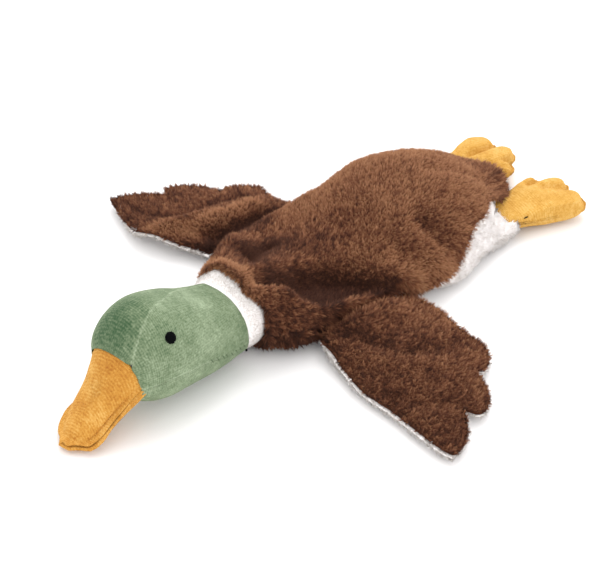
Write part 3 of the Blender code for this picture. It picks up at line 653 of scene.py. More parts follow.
def grow(name, ground, pile, nap, seed, keep, body, length_at=None, tone_at=None):
    """Grow the pile as one piece of thin three-sided fibres."""
    draws = np.random.default_rng(seed)
    roots, ups = spread_roots(ground, pile.spacing, keep, draws)
    count = len(roots)
    flow = nap(roots, ups)
    flow -= ups * (flow * ups).sum(axis=1)[:, None]
    stray = draws.normal(size=(count, 3)) * pile.fluff
    lie = unit(ups + flow * pile.lean + stray)
    cluster = np.array([lump(root, pile.spacing * 2.3, 9.0) for root in roots])
    tall = pile.length * draws.uniform(0.80, 1.12, count) * (1 + CLUSTER_LENGTH * cluster)
    if length_at is not None:
        tall = tall * length_at(roots, ups)
    tuft_tips = roots + lie * tall[:, None]
    tuft_shade = 0.5 + TUFT_VARIETY * (draws.random(count) - 0.5)
    # Painted light: tufts that face up, or towards +Y where the top lamp stands, are drawn lighter,
    # and those facing down or forward darker; the cluster term is random tone by clumps.
    tuft_shade += 0.30 * (ups[:, 2] - 0.62) + 0.24 * ups[:, 1] + CLUSTER_TONE * cluster
    tuft_shade += 0.20 * np.array([lump(root, 0.026, 4.0) + 0.6 * lump(root, 0.008, 6.0)
                                   for root in roots])
    # tone_at adds the painted shade and highlights of the torso, wings and collar.
    if tone_at is not None:
        tuft_shade += tone_at(roots, ups)

    many = count * pile.strands
    which = np.repeat(np.arange(count), pile.strands)
    offset = draws.normal(size=(many, 3)) * pile.spacing * 0.48
    offset -= ups[which] * (offset * ups[which]).sum(axis=1)[:, None]
    base = roots[which] + offset - ups[which] * 0.0003
    loose = offset * (1 - pile.clump) + draws.normal(size=(many, 3)) * pile.spacing * 0.12
    tips = tuft_tips[which] + loose
    tips = base + (tips - base) * draws.uniform(0.70, 1.08, many)[:, None]
    axis = unit(tips - base)
    side = unit(np.cross(axis, draws.normal(size=(many, 3))))
    other = np.cross(axis, side)
    wide = pile.width * draws.uniform(0.7, 1.2, many)
    points = np.empty((many, 4, 3))
    bright = np.empty((many, 4, 3))
    bright[:] = (ups[which] * NORMAL_UP + axis * NORMAL_ALONG)[:, None]
    for corner in range(3):
        turn = 2 * math.pi * corner / 3
        arm = side * math.cos(turn) + other * math.sin(turn)
        points[:, corner] = base + arm * (wide / 2)[:, None]
        bright[:, corner] += arm * NORMAL_ROUND
    bright = unit(bright)
    points[:, 3] = tips
    points[:, :, 2] = np.maximum(points[:, :, 2], FLOOR_GAP)

    first = np.arange(many) * 4
    faces = np.empty((many, 3, 3), dtype=np.int32)
    for corner in range(3):
        faces[:, corner, 0] = first + corner
        faces[:, corner, 1] = first + (corner + 1) % 3
        faces[:, corner, 2] = first + 3
    mesh = bpy.data.meshes.new(name)
    mesh.vertices.add(many * 4)
    mesh.vertices.foreach_set("co", points.astype(np.float32).ravel())
    mesh.loops.add(many * 9)
    mesh.loops.foreach_set("vertex_index", faces.ravel())
    mesh.polygons.add(many * 3)
    mesh.polygons.foreach_set("loop_start", np.arange(many * 3, dtype=np.int32) * 3)
    mesh.update(calc_edges=True)
    mesh.shade_smooth()
    mesh.normals_split_custom_set_from_vertices(bright.reshape(-1, 3).tolist())

    heights = np.tile((0.0, 0.0, 0.0, 1.0), many)
    shades = np.clip(tuft_shade[which] + STRAND_VARIETY * (draws.random(many) - 0.5), 0, 1)
    add_values(mesh, "height", heights)
    add_values(mesh, "shade", np.repeat(shades, 4))

    across = math.ceil(math.sqrt(many))
    cell = 1.0 / across
    left = (np.arange(many) % across) * cell
    low = (np.arange(many) // across) * cell
    spots = np.empty((many, 3, 3, 2))
    for corner, (u, v) in enumerate(((0.08, 0.08), (0.92, 0.08), (0.50, 0.92))):
        spots[:, :, corner, 0] = (left + u * cell)[:, None]
        spots[:, :, corner, 1] = (low + v * cell)[:, None]
    layer = mesh.uv_layers.new(name="OFBake")
    layer.data.foreach_set("uv", spots.astype(np.float32).ravel())

    piece = put_in_scene(name, mesh)
    dress(piece, pile.surface)
    body(piece)
    return piece


# Stage

def make_camera():
    """The photograph's viewpoint, worked out from its angles and the pixel it aims at."""
    lens = bpy.data.cameras.new("camera")
    camera = put_in_scene("camera", lens)
    flat = math.cos(VIEW_ELEVATION)
    back = Vector((math.sin(VIEW_AZIMUTH) * flat, -math.cos(VIEW_AZIMUTH) * flat,
                   math.sin(VIEW_ELEVATION)))
    right = Vector((math.cos(VIEW_AZIMUTH), math.sin(VIEW_AZIMUTH), 0.0))
    up = back.cross(right)
    pixels = IMAGE_WIDTH / 2 / math.tan(VIEW_WIDTH / 2)
    aside = (AIM_PIXEL[0] - IMAGE_WIDTH / 2) / pixels * VIEW_DISTANCE
    below = (IMAGE_HEIGHT / 2 - AIM_PIXEL[1]) / pixels * VIEW_DISTANCE
    camera.location = AIM_SPOT + back * VIEW_DISTANCE - right * aside - up * below
    camera.rotation_mode = "QUATERNION"
    camera.rotation_quaternion = Matrix((right, up, back)).transposed().to_quaternion()
    lens.sensor_fit = "HORIZONTAL"
    lens.angle = VIEW_WIDTH
    lens.clip_start = 0.01
    bpy.context.scene.camera = camera


def make_light(name, spot, aim, size, power, colour):
    light = bpy.data.lights.new(name, "AREA")
    light.shape = "DISK"
    light.size = size
    light.energy = power
    light.color = colour
    holder = put_in_scene(name, light)
    holder.location = spot
    holder.rotation_mode = "QUATERNION"
    holder.rotation_quaternion = (Vector(aim) - Vector(spot)).to_track_quat("-Z", "Y")


def make_stage():
    """Pale floor, white surroundings and soft lamps."""
    deselect()
    bpy.ops.mesh.primitive_plane_add(size=8.0, location=(0, 0, 0))
    floor = bpy.context.object
    floor.name = "floor"
    floor.data.materials.append(floor_surface())
    world = bpy.data.worlds.new("white_room")
    bpy.context.scene.world = world
    world.use_nodes = True
    back = world.node_tree.nodes["Background"]
    back.inputs["Color"].default_value = (1.0, 0.99, 0.99, 1.0)
    back.inputs["Strength"].default_value = 1.45
    make_light("top_lamp", (-0.35, 0.45, 1.1), (0, 0, 0), 0.9, 4.6, (1.0, 0.99, 0.985))
    make_light("side_lamp", (0.9, -0.2, 0.7), (0, 0, 0), 0.8, 1.2, (1.0, 0.98, 0.97))
    view = bpy.context.scene.view_settings
    view.view_transform = "Standard"
    view.look = "None"
    view.exposure = 0.0


make_camera()
make_stage()


# Torso

def anywhere(centres, facing):
    return np.ones(len(centres), dtype=bool)


def rides(body):
    """A finisher that puts a piece on one body."""
    return lambda piece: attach(piece, body)


def bends():
    """A finisher that bakes a piece's place into its points and leaves it on no body."""
    return lambda piece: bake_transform(piece)


def backward(points, ups):
    """The torso's nap lies towards the tail, and hangs where the cloth faces forward."""
    front = np.clip(-ups[:, 1] - 0.2, 0.0, 1.0)
    down = np.array([0.0, 0.0, -1.0])
    return np.array([0.0, 1.0, -0.15]) * (1 - front)[:, None] + down * (1.3 * front)[:, None]


SHORT_BROWN = Pile(0.00090, 7, 0.0027, 0.00038, 0.50, 0.60, "brown_pile", fluff=0.36)
WING_BROWN = Pile(0.00092, 7, 0.0027, 0.00038, 0.55, 0.55, "brown_pile", fluff=0.42)
CURLY_BROWN = Pile(0.00130, 12, 0.0037, 0.00042, 0.55, 0.78, "brown_pile", fluff=0.55)
WHITE = Pile(0.00120, 6, 0.0017, 0.00042, 0.40, 0.55, "white_pile", fluff=0.30)
WHITE_SPARSE = Pile(0.00190, 6, 0.0020, 0.00060, 0.40, 0.55, "white_pile")
WHITE_RIM = Pile(0.00110, 6, 0.0020, 0.00040, 0.50, 0.45, "white_pile", fluff=0.55)
WHITE_SHORT = Pile(0.00085, 5, 0.0009, 0.00036, 0.95, 0.40, "white_pile", fluff=0.20)

TORSO_PANELS = ("back_panel", "breast_panel", "belly_panel")

# Folds of the slack back, and lines where its pile is drawn darker or lighter, in millimetres on
# the floor plan
HOLLOW_RIM = ((24, -93), (19, -87), (14, -76), (9, -60), (12, -47), (22, -35), (34, -25), (43, -15),
              (48, -8))
NEAR_CREST = ((34, -92), (37, -84), (40, -75), (42, -62), (42, -48), (45, -31), (47, -16), (48, -9))
HOLLOW_ROWS = (-92, -84, -76, -62, -48, -36, -25, -14, -6)
HOLLOW_LEVELS = (36, 27, 20, 14, 12, 12, 14, 18, 26)
HOLLOW_FAR_SLOPE = 0.011
HOLLOW_NEAR_SLOPE = 0.0055
HOOD_CREST = ((-10, -93), (2, -95), (14, -95), (25, -93), (33, -90), (37, -83))
HOOD_LEFT_PULL = (0.0065, -0.0100, -0.0045)
SHOULDER_SQUEEZE = 0.0050
SLOPE_ALONG = (0.602, 0.799, 0.0)
SLOPE_UP = (-0.481, 0.362, 0.799)
SLOPE_LINE = ((-89.0, -16.1), (-86.0, -10.1), (-82.4, -5.0), (-79.4, 1.0), (-74.4, 8.6),
              (-68.3, 13.7), (-53.2, 23.8), (-48.0, 40.0))
# These four are lines of painted shade on the pile, with no fold of their own.
SIDE_SHADE = ((-9, -76), (-14, -67), (-15, -56))
BACK_SHADE = ((10, -84), (-2, -75), (-6, -60), (-2, -44), (6, -36))
SHOULDER_SHADE = ((-31, -72), (-35, -62), (-36, -52), (-35, -44))
INNER_SHADE = ((37, -82), (39, -74), (40, -66), (40, -54))
FAR_DIP = ((10, -84), (4, -80), (-3, -75), (-9, -68), (-12, -60))
SIDE_DIP = ((-4, -79), (-12, -80), (-20, -84))
SHOULDER_CREST = ((-17, -82), (-26, -74), (-34, -65), (-39, -54), (-41, -42), (-42, -30),
                  (-41, -18))
RUMP_CHANNEL = ((30, 8), (37, 13), (44, 19))
RUMP_DENT = ((33, -10), (39, -1))
RUMP_PATCH = ((30, 33), (35, 38))
TAIL_CHANNEL = ((6, 34), (12, 58), (14, 76))
HEM_LIGHT = ((43, -6), (45, 8))
HEM_DROP = 0.0038
HEM_REAR_DROP = 0.0022
HEM_OUT = 0.0010
HEM_REAR_OUT = 0.0045
SIDE_HEM_PUSH = (0.0045, 0.0, -0.0030)
CORNER_TUCK = 0.0025
FILLING_UNDER = 0.0035
HOOD_REACH = 0.0065
TAIL_REACH = 0.0050
TAIL_SPREAD = 0.38
TAIL_SKEW = 0.004
TAIL_DROP = 0.0022
FLANK_SWELL = 0.0028


def in_hollow(points):
    """How far a point lies in the deep fold between the back and the near ridge."""
    far = np.clip(-signed(points, HOLLOW_RIM) / HOLLOW_FAR_SLOPE, 0.0, 1.0)
    far = 1 - (1 - far) ** 2.6
    near = ease(signed(points, NEAR_CREST), 0.0005, HOLLOW_NEAR_SLOPE)
    return far * near * ease(points[:, 1], -0.0945, -0.0875)


def slope_shoulder(points):
    """The far shoulder falls away flat towards the wing."""
    line = np.array(SLOPE_LINE) * MM
    limit = np.interp(points @ np.array(SLOPE_ALONG), line[:, 0], line[:, 1])
    over = np.maximum(points @ np.array(SLOPE_UP) - limit, 0.0) / SLOPE_UP[2]
    over *= ease(-points[:, 0], -0.004, 0.006) * ease(-points[:, 1], 0.030, 0.045)
    sloped = points.copy()
    sloped[:, 2] = np.maximum(points[:, 2] - over, np.minimum(points[:, 2], 0.0125))
    return sloped


def fold_torso(points, under=0.0):
    """The slack cloth's folds; the filling lies under the deep fold's floor."""
    upper = ease(points[:, 2], 0.007, 0.015)
    lift = ridge(points, HOLLOW_RIM, 3.0, 12.0, 2.5) + ridge(points, NEAR_CREST, 4.5, 5.0)
    lift += ridge(points, HOOD_CREST, 2.5, 3.5)
    lift += ridge(points, SHOULDER_CREST, 4.0, 6.0, 9.0)
    lift -= ridge(points, FAR_DIP, 7.0, 5.5) + ridge(points, SIDE_DIP, 4.5, 4.5)
    lift -= ridge(points, RUMP_CHANNEL, 4.5, 4.5) + ridge(points, RUMP_DENT, 2.5, 5.0)
    lift -= ridge(points, TAIL_CHANNEL, 2.0, 5.0)
    lift += 0.0013 * np.array([lump(point, 0.024, 8.0) for point in points])
    moved = points.copy()
    height = points[:, 2] + upper * lift
    floor = np.interp(points[:, 1] / MM, HOLLOW_ROWS, HOLLOW_LEVELS) * MM - under
    deep = in_hollow(points) * upper
    height += deep * np.minimum(floor - height, 0.0)
    moved[:, 2] = np.maximum(height, np.minimum(points[:, 2], 0.009))
    hood = ease(-points[:, 1], 0.080, 0.095) * ease(points[:, 2], 0.026, 0.042)
    moved[:, 1] -= HOOD_REACH * hood
    moved[:, 2] -= 0.0015 * hood
    pull = ease(-points[:, 1], 0.079, 0.094) * ease(-points[:, 0], -0.008, 0.008)
    pull *= ease(points[:, 2], 0.010, 0.024)
    moved += np.outer(pull * (1 - 0.45 * hood), np.array(HOOD_LEFT_PULL))
    shoulder = ease(-points[:, 0], 0.024, 0.044) * ease(-points[:, 1], 0.038, 0.052)
    moved[:, 0] += SHOULDER_SQUEEZE * shoulder * ease(points[:, 2], 0.010, 0.020)
    moved = slope_shoulder(moved)
    flank = ease(points[:, 2], 0.001, 0.006) * (1 - ease(points[:, 2], 0.012, 0.022))
    flank *= ease(points[:, 1], 0.0, 0.015) * ease(np.abs(points[:, 0]), 0.015, 0.030)
    moved[:, 0] += np.sign(points[:, 0]) * FLANK_SWELL * flank
    hem = ease(points[:, 0], 0.028, 0.042) * ease(points[:, 1], -0.020, -0.008)
    hem *= (1 - ease(points[:, 1], 0.026, 0.050)) * ease(points[:, 2], 0.004, 0.016)
    hem *= 1 - ease(points[:, 2], 0.027, 0.037)
    rear = 1 - ease(points[:, 1], 0.0, 0.022)
    moved[:, 2] -= hem * (HEM_DROP + HEM_REAR_DROP * rear)
    moved[:, 0] += hem * (HEM_OUT + HEM_REAR_OUT * rear)
    side = ease(points[:, 0], 0.022, 0.032) * ease(points[:, 1], 0.036, 0.048)
    side *= (1 - ease(points[:, 1], 0.066, 0.080)) * ease(points[:, 2], 0.007, 0.013)
    moved += np.outer(side, SIDE_HEM_PUSH)
    tail = ease(points[:, 1], 0.045, 0.082)
    moved[:, 0] += tail * (TAIL_SPREAD * points[:, 0] - TAIL_SKEW)
    moved[:, 1] += tail * TAIL_REACH
    moved[:, 2] -= tail * TAIL_DROP * ease(points[:, 2], 0.012, 0.018)
    return moved


def torso_tone_and_painted_light(points, ups):
    """Tone of the back's pile: painted shade in the deep fold, dips, dents, channels and shade
    lines; painted highlights on the hollow's rim, the near crest and the hood's front band; also
    darker towards the front and the tail, low at the front and in a rump patch, lighter at the hem.
    """
    tone = 0.40 * ease(points[:, 1], -0.070, -0.010) - 0.12
    tone -= 0.50 * ease(points[:, 1], 0.045, 0.080)
    # Painted shade: the deep fold, the dips, dents and channels and the shade lines are drawn
    # darker.
    tone -= 0.95 * in_hollow(points) * ease(points[:, 2], 0.0, 0.004)
    tone -= ridge(points, FAR_DIP, 0.50 / MM, 6.0) + ridge(points, BACK_SHADE, 0.44 / MM, 10.0)
    tone -= ridge(points, SHOULDER_SHADE, 0.70 / MM, 6.0)
    tone -= ridge(points, INNER_SHADE, 0.50 / MM, 4.0)
    tone -= ridge(points, RUMP_DENT, 0.10 / MM, 5.5) + ridge(points, RUMP_PATCH, 0.25 / MM, 5.0)
    tone -= ridge(points, RUMP_CHANNEL, 0.34 / MM, 4.5)
    tone -= ridge(points, SIDE_SHADE, 0.45 / MM, 8.0)
    tone += ridge(points, HEM_LIGHT, 0.35 / MM, 8.0)
    # Painted highlights: the hollow's rim, the near crest and the hood's front band are drawn
    # lighter.
    tone += ridge(points, HOLLOW_RIM, 0.12 / MM, 9.0, 1.0) * ease(points[:, 1], -0.070, -0.045)
    tone += ridge(points, NEAR_CREST, 0.22 / MM, 2.2)
    band = ease(-points[:, 1], 0.093, 0.099) * ease(points[:, 2], 0.022, 0.030)
    tone += 1.15 * band * (1 - ease(points[:, 0], 0.030, 0.040))
    tone += 0.85 * ease(-points[:, 1], 0.093, 0.098) * (1 - ease(points[:, 0], -0.002, 0.006))
    low = ease(-points[:, 2], -0.026, -0.008) * ease(-points[:, 1], -0.010, 0.020)
    return tone - 0.16 * low


def root_seam(points):
    """Where the near side's cloth hangs over the wing's root."""
    root = ease(points[:, 0], 0.038, 0.044) * ease(-points[:, 2], -0.025, -0.017)
    return root * ease(-points[:, 1], 0.000, 0.010) * ease(points[:, 1], -0.074, -0.064)


def tail_hem(points):
    """Where the tail's near edge hangs over the foot's root."""
    near = ease(points[:, 0], 0.006, 0.012) * (1 - ease(points[:, 2], 0.020, 0.025))
    return near * ease(points[:, 1], 0.054, 0.064)


def torso_length(points, ups):
    """Longer tufts over the near wing's root seam, at the hem and round the tail's edge."""
    root = root_seam(points)
    hem = ease(points[:, 1], 0.0, 0.010) * ease(-points[:, 2], -0.028, -0.018)
    tail = ease(points[:, 1], 0.074, 0.086)
    return 1 + 0.9 * root + 0.35 * hem + 0.25 * tail + 0.7 * tail_hem(points)


def belly_length(points, ups):
    """Longer where the belly meets the legs, so that their seams are covered."""
    low = 1 - ease(points[:, 2], 0.0065, 0.0095)
    near = ease(points[:, 1], 0.044, 0.058) * ease(np.abs(points[:, 0]), 0.020, 0.028)
    return 1 + 2.0 * low * near


def hem_fall(points, ups):
    """At the near hem the tufts hang over the seam."""
    flow = backward(points, ups)
    hem = ease(points[:, 1], -0.005, 0.010) * ease(-points[:, 2], -0.030, -0.018)
    hem = np.maximum(np.maximum(hem, 0.7 * root_seam(points)), 0.8 * tail_hem(points))
    out = points.copy()
    out[:, 1:] = 0.0
    return flow + hem[:, None] * (unit(out) * 0.6 + np.array((0.0, 0.0, -2.2)))


def under_tail(points):
    """The belly's corner under the tail's near edge."""
    return (ease(points[:, 0], 0.010, 0.015) * ease(points[:, 1], 0.052, 0.062)
            * ease(points[:, 2], 0.0115, 0.0140))


def make_torso():
    grounds = {}
    for name, surface in (("back", "brown_ground"), ("breast", "brown_ground"),
                          ("belly", "white_ground")):
        own = name + "_panel"
        cloth = soften(shell_copy(name + "_cloth", own), 0.0006, DETAIL)
        others = [n for n in TORSO_PANELS if n != own] + ["body_filling"]
        seen = open_points(cloth, nodes(*others, "neck_ring"))
        sink(cloth, nodes("body_filling"), PLUSH_DEPTH, torso_inward)
        add_values(cloth.data, "outer", seen)
        points = points_of(cloth)
        if name == "belly":
            points[:, 0] -= CORNER_TUCK * under_tail(points)
            points[:, 2] -= CORNER_TUCK * under_tail(points)
        move_points(cloth, fold_torso(points))
        pad(cloth, surface, "torso", own)
        grounds[name] = cloth
    filling = soften(shell_copy("loose_filling", "body_filling"), 0, DETAIL)
    move_points(filling, fold_torso(points_of(filling), FILLING_UNDER))
    pad(filling, "fibre", "torso", "body_filling")

    cuts = (-1.0, -0.070, -0.036, 0.002, 0.042, 1.0)
    for number, name in enumerate(("hood_pile", "fold_pile", "shoulder_pile", "rump_pile",
                                   "tail_pile")):
        low, high = cuts[number], cuts[number + 1]
        grow(name, grounds["back"], SHORT_BROWN, hem_fall, 11 + number,
             lambda c, f, low=low, high=high: (c[:, 1] >= low) & (c[:, 1] < high),
             rides("torso"), torso_length, torso_tone_and_painted_light)
    grow("breast_pile", grounds["breast"], CURLY_BROWN, hem_fall, 21,
         lambda c, f: c[:, 2] > 0.002, rides("torso"), torso_length, torso_tone_and_painted_light)
    grow("belly_pile", grounds["belly"], WHITE, backward, 22,
         lambda c, f: (c[:, 2] > 0.0035) & (under_tail(c) < 0.5), rides("torso"), belly_length)
    grow("belly_rest_pile", grounds["belly"], WHITE_SPARSE, backward, 23,
         lambda c, f: (c[:, 2] > 0.0012) & (c[:, 2] <= 0.0035), rides("torso"))


make_torso()


# Head and beak

HEAD_PANELS = ("head_crown", "head_left_side", "head_right_side", "head_chin")
BEAK_PANELS = ("beak_upper", "beak_lower")
FRONT_SLANT = 0.0030
HEAD_SEAM_REACH = 0.0016
BEAK_TUCK = 0.0012
HEAD_OVERLAP = 0.0006
WAIST_ALONG = (66, 71, 77, 83, 86, 90, 93, 101)
WAIST_PUSH = (0, 1.7, 2.3, 2.6, 2.4, 0.9, -0.2, -1.2)


def slant_front(points):
    """The forehead's point reaches over the beak's root."""
    along, aside, up = head_places(points)
    near = np.exp(-((along - HEAD_LONG) / 0.012) ** 2)
    high = ease(up - 0.25 * aside, 0.004, 0.022)
    return points + np.outer(FRONT_SLANT * near * (high - 0.35), np.array(FORWARD))


def widen_waist(points):
    """The beak's far side runs straight from its root to the tip."""
    along, aside, up = head_places(points)
    push = np.interp(along / MM, WAIST_ALONG, WAIST_PUSH) * MM
    return points - np.outer(push * ease(-aside, 0.002, 0.011), np.array(ASIDE))


def head_weave(piece):
    """Knit rows run round the head."""
    along, aside, up = head_places(points_of(piece))
    around = np.arctan2(up, aside) * HEAD_HALF
    add_weave(piece, around, along + 0.10 * up)
    return along + around


HEAD_PATCHES = (((0.024, -0.172, 0.050), 0.013, -0.32), ((0.040, -0.130, 0.036), 0.016, 0.16),
                ((0.047, -0.150, 0.018), 0.012, 0.10), ((0.012, -0.140, 0.052), 0.014, 0.14),
                ((0.048, -0.125, 0.020), 0.010, -0.12))
BEAK_PATCHES = (((0.033, -0.182, 0.038), 0.007, -0.22), ((0.040, -0.196, 0.016), 0.008, 0.14),
                ((0.030, -0.190, 0.030), 0.006, 0.10))


def make_head():
    for own in HEAD_PANELS:
        cloth = shell_copy(own + "_velvet", own)
        others = [n for n in HEAD_PANELS if n != own]
        close_seams(cloth, nodes(*others, *BEAK_PANELS, "neck_ring"), HEAD_SEAM_REACH)
        soften(cloth, 0, DETAIL + 1, crisp=1.0)
        stitches = head_weave(cloth)
        seam = ruffle(cloth, nodes(*others), stitches, head_inward, valley=-0.00022,
                      pucker=0.00010, reach=0.0009)
        front = ruffle(cloth, nodes(*BEAK_PANELS), stitches, head_inward, valley=0.0002)
        points = points_of(cloth)
        points += np.outer(HEAD_OVERLAP * (1 - ease(front, 0.0006, 0.0016)), np.array(FORWARD))
        move_points(cloth, points)
        wrinkle(cloth, 0.016, 0.0006, 3.0)
        move_points(cloth, slant_front(points_of(cloth)))
        # Painted highlight along the head's raised seams, none on the chin.
        light = 0.0 if own == "head_chin" else 0.48
        add_nap(cloth, HEAD_PATCHES, 0.44 if own == "head_crown" else 0.52, seam, light)
        pad(cloth, "green", "head", own)
    for own in BEAK_PANELS:
        cloth = shell_copy(own + "_velvet", own)
        others = [n for n in BEAK_PANELS if n != own]
        close_seams(cloth, nodes(*others, *HEAD_PANELS))
        soften(cloth, 0, DETAIL + 1, crisp=0.7)
        stitches = head_weave(cloth)
        root = ruffle(cloth, nodes(*HEAD_PANELS), stitches, head_inward, valley=0.0003)
        points = points_of(cloth)
        points -= np.outer(BEAK_TUCK * (1 - ease(root, 0.0004, 0.0014)), np.array(FORWARD))
        move_points(cloth, points)
        groove, swell = (0.0017, 0.0) if own == "beak_upper" else (0.0004, 0.0012)
        ruffle(cloth, nodes(*others), stitches, head_inward, valley=groove, swell=swell,
               reach=0.0013)
        wrinkle(cloth, 0.012, 0.0004, 7.0)
        move_points(cloth, widen_waist(slant_front(points_of(cloth))))
        add_nap(cloth, BEAK_PATCHES, 0.5)
        pad(cloth, "yellow", "head", own)
    for own in ("head_filling", "beak_filling"):
        make_wadding(own, "head", lambda points: widen_waist(slant_front(points)))


def thread(name, paths, radius, surface):
    """Threads along some paths, as one piece with rounded ends."""
    curve = bpy.data.curves.new(name, "CURVE")
    curve.dimensions = "3D"
    curve.bevel_depth = radius
    curve.bevel_resolution = 2
    curve.use_fill_caps = True
    for path in paths:
        line = curve.splines.new("POLY")
        line.points.add(len(path) - 1)
        for number, (point, spot) in enumerate(zip(line.points, path)):
            point.co = (*spot, 1.0)
            point.radius = 0.55 if number in (0, len(path) - 1) else 1.0
    pick(put_in_scene(name, curve))
    bpy.ops.object.convert(target="MESH")
    piece = bpy.context.object
    bpy.ops.object.shade_smooth()
    dress(piece, surface)
    return piece


EYE_THREADS = 9
EYE_DOME = 0.0011
EYE_SHAPE = 0.96


def make_eye(side_name):
    """Satin stitches side by side over a round patch of the velvet."""
    own = side_name + "_eye"
    spots = points_of(frame["nodes"][own])
    centre = Vector(spots.mean(axis=0))
    reach = np.linalg.norm(spots - np.array(centre), axis=1).max()
    cheek = tree_of(bpy.data.objects["head_" + side_name + "_side_velvet"])
    spot, out, _, _ = cheek.find_nearest(centre)
    slant = (FORWARD + Vector((0, 0, 0.35))).normalized()
    run = (slant - out * slant.dot(out)).normalized()
    cross = out.cross(run)
    paths = []
    for number in range(EYE_THREADS):
        offset = (number + 0.5) / EYE_THREADS * 2 - 1
        half = reach * EYE_SHAPE * math.sqrt(1 - offset ** 2)
        path = []
        for step in range(9):
            share = step / 4 - 1
            place = spot + cross * offset * reach * 0.86 + run * share * half
            hit = cheek.ray_cast(place + out * 0.004, -out, 0.012)
            ground = hit[0] if hit[0] is not None else place
            dome = math.sqrt(max(0.0, 1 - share ** 4)) * math.sqrt(max(0.0, 1 - 0.75 * offset ** 2))
            path.append(ground + out * (EYE_DOME * dome - 0.0002))
        paths.append(path)
    eye = thread(own + "_stitches", paths, reach / EYE_THREADS * 1.15, "black")
    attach(eye, "head")
    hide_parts(own)


def make_closing_stitches():
    """Ladder stitches that shut the cheek's seam behind the eye, and their knot."""
    cheek = bpy.data.objects["head_left_side_velvet"]
    chin = tree_of(bpy.data.objects["head_chin_velvet"])
    points = points_of(cheek)
    along, aside, up = head_places(points)
    near = distances(points, chin, 0.002)
    paths = []
    for station in np.arange(0.0035, 0.0300, 0.0034):
        fit = np.where((np.abs(along - station) < 0.0012) & (near < 0.0006) & (aside > 0))[0]
        if len(fit) == 0:
            continue
        spot = Vector(points[fit[np.argmax(aside[fit])]])
        out = (ASIDE + Vector((0, 0, -0.25))).normalized()
        lean = FORWARD * 0.0007
        rise = Vector((0, 0, 0.0013))
        paths.append([spot + out * lift + rise * share + lean * share
                      for share, lift in ((-1, -0.0004), (-0.6, 0.0002), (0, 0.0004),
                                          (0.6, 0.0002), (1, -0.0004))])
    stitches = thread("closing_stitches", paths, 0.00022, "green_thread")
    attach(stitches, "head")

    fit = np.where((along < 0.004) & (near < 0.0008) & (aside > 0))[0]
    spot = Vector(points[fit[np.argmax(aside[fit])]]) + Vector((0, 0, -0.003)) + ASIDE * 0.0002
    coil = []
    for step in range(19):
        turn = step / 18 * 4 * math.pi
        coil.append(spot + FORWARD * 0.00045 * math.cos(turn)
                    + Vector((0, 0, 0.00045 * math.sin(turn))) + ASIDE * (0.0001 + step * 0.00002))
    knot = thread("thread_knot", [coil], 0.00026, "black")
    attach(knot, "head")


RING_OVERLAP = 0.0008
RING_SHOWN = 0.0130
# How much darker the collar's pile is drawn all over: painted shade.
RING_PAINTED_SHADE = 0.55


def shown_collar(centres, facing):
    """The collar's outside, between the body's hood and the head."""
    along = head_places(centres)[0]
    outside = np.einsum("ij,ij->i", facing, -head_inward(centres)) > 0.35
    return (along > -RING_SHOWN) & (along < -0.0002) & outside


def ring_nap(points, ups):
    return np.tile(-np.array(FORWARD), (len(points), 1))


def ring_painted_shade(points, ups):
    """Painted shade: the collar's pile is drawn darker all over than the legs' pile."""
    return np.full(len(points), -RING_PAINTED_SHADE)


def ring_length(points, ups):
    """The collar's own seam parts the pile low on its side, and its front edge is tucked in."""
    along, aside, up = head_places(points)
    seam = np.abs(up + 0.0105 + 0.55 * (along + 0.008))
    parted = 1 - 0.75 * np.exp(-(seam / 0.0007) ** 2) * (aside > 0)
    return parted * (1 - 0.4 * ease(along, -0.003, 0.0))


def head_rim(angles):
    """The radius of the head's rear rim, which the collar's front meets."""
    rims = np.vstack([points_of(bpy.data.objects[own + "_velvet"]) for own in HEAD_PANELS])
    along, aside, up = head_places(rims)
    near = np.abs(along) < 0.0015
    turns = np.round(np.arctan2(up, aside)[near] / math.radians(10)).astype(int)
    radii = np.hypot(aside, up)[near]
    steps = np.unique(turns)
    rim = [radii[turns == step].max() for step in steps]
    return np.interp(angles, steps * math.radians(10), rim, period=2 * math.pi)


def make_ring():
    """The white collar and its pile, left on no body; its filling rides on the neck."""
    bend = bends()
    cloth = shell_copy("collar_cloth", "neck_ring")
    close_seams(cloth, nodes(*HEAD_PANELS))
    soften(cloth, 0.0004, DETAIL)
    add_values(cloth.data, "outer", open_points(cloth, nodes("neck_filling"), NEAR_CLOTH))
    sink(cloth, nodes("neck_filling"), 0.0005)
    points = points_of(cloth)
    along, aside, up = head_places(points)
    over = np.hypot(aside, up) - head_rim(np.arctan2(up, aside)) + 0.0002
    draw = ease(along, -0.0090, -0.0005) * np.maximum(over, 0.0)
    draw += 0.0030 * ease(-along, 0.0110, 0.0150)
    points += head_inward(points) * draw[:, None]
    points += np.outer(RING_OVERLAP * ease(along, -0.0035, 0.0), np.array(FORWARD))
    move_points(cloth, points)
    dress(cloth, "white_ground")
    bend(cloth)
    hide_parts("neck_ring")
    grow("collar_pile", cloth, WHITE_SHORT, ring_nap, 31, shown_collar, bend, ring_length,
         ring_painted_shade)
    make_wadding("neck_filling", "neck")


# Wings

FAR_FRONT_EDGE = 0.0065
FAR_RIDGE = ((-60, -34), (-61, -54), (-63, -70), (-75, -87))
FAR_VALLEY = ((-47, -74), (-50, -62), (-52, -48), (-53, -28))
FAR_OUTER_VALLEY = ((-76, -30), (-78, -50), (-80, -66), (-88, -78))
FAR_TIP_NOTCH = ((-98, -81), (-106, -81), (-113, -82))
NEAR_BAND = ((51, -60), (65, -54), (79, -45), (87, -30), (91, -14))
NEAR_RIDGE = ((60, -66), (72, -61), (86, -51), (97, -36))
NEAR_LOW_BAND = ((100, -69), (113, -62), (121, -51))
UNDERSIDE_LIP = {1: 0.0012, -1: 0.0008}
WING_ROOT_EDGE = 0.0520
FAR_FRONT_LINE = ((50, -71), (67, -74), (80, -81), (91, -87), (106, -89), (120, -90))


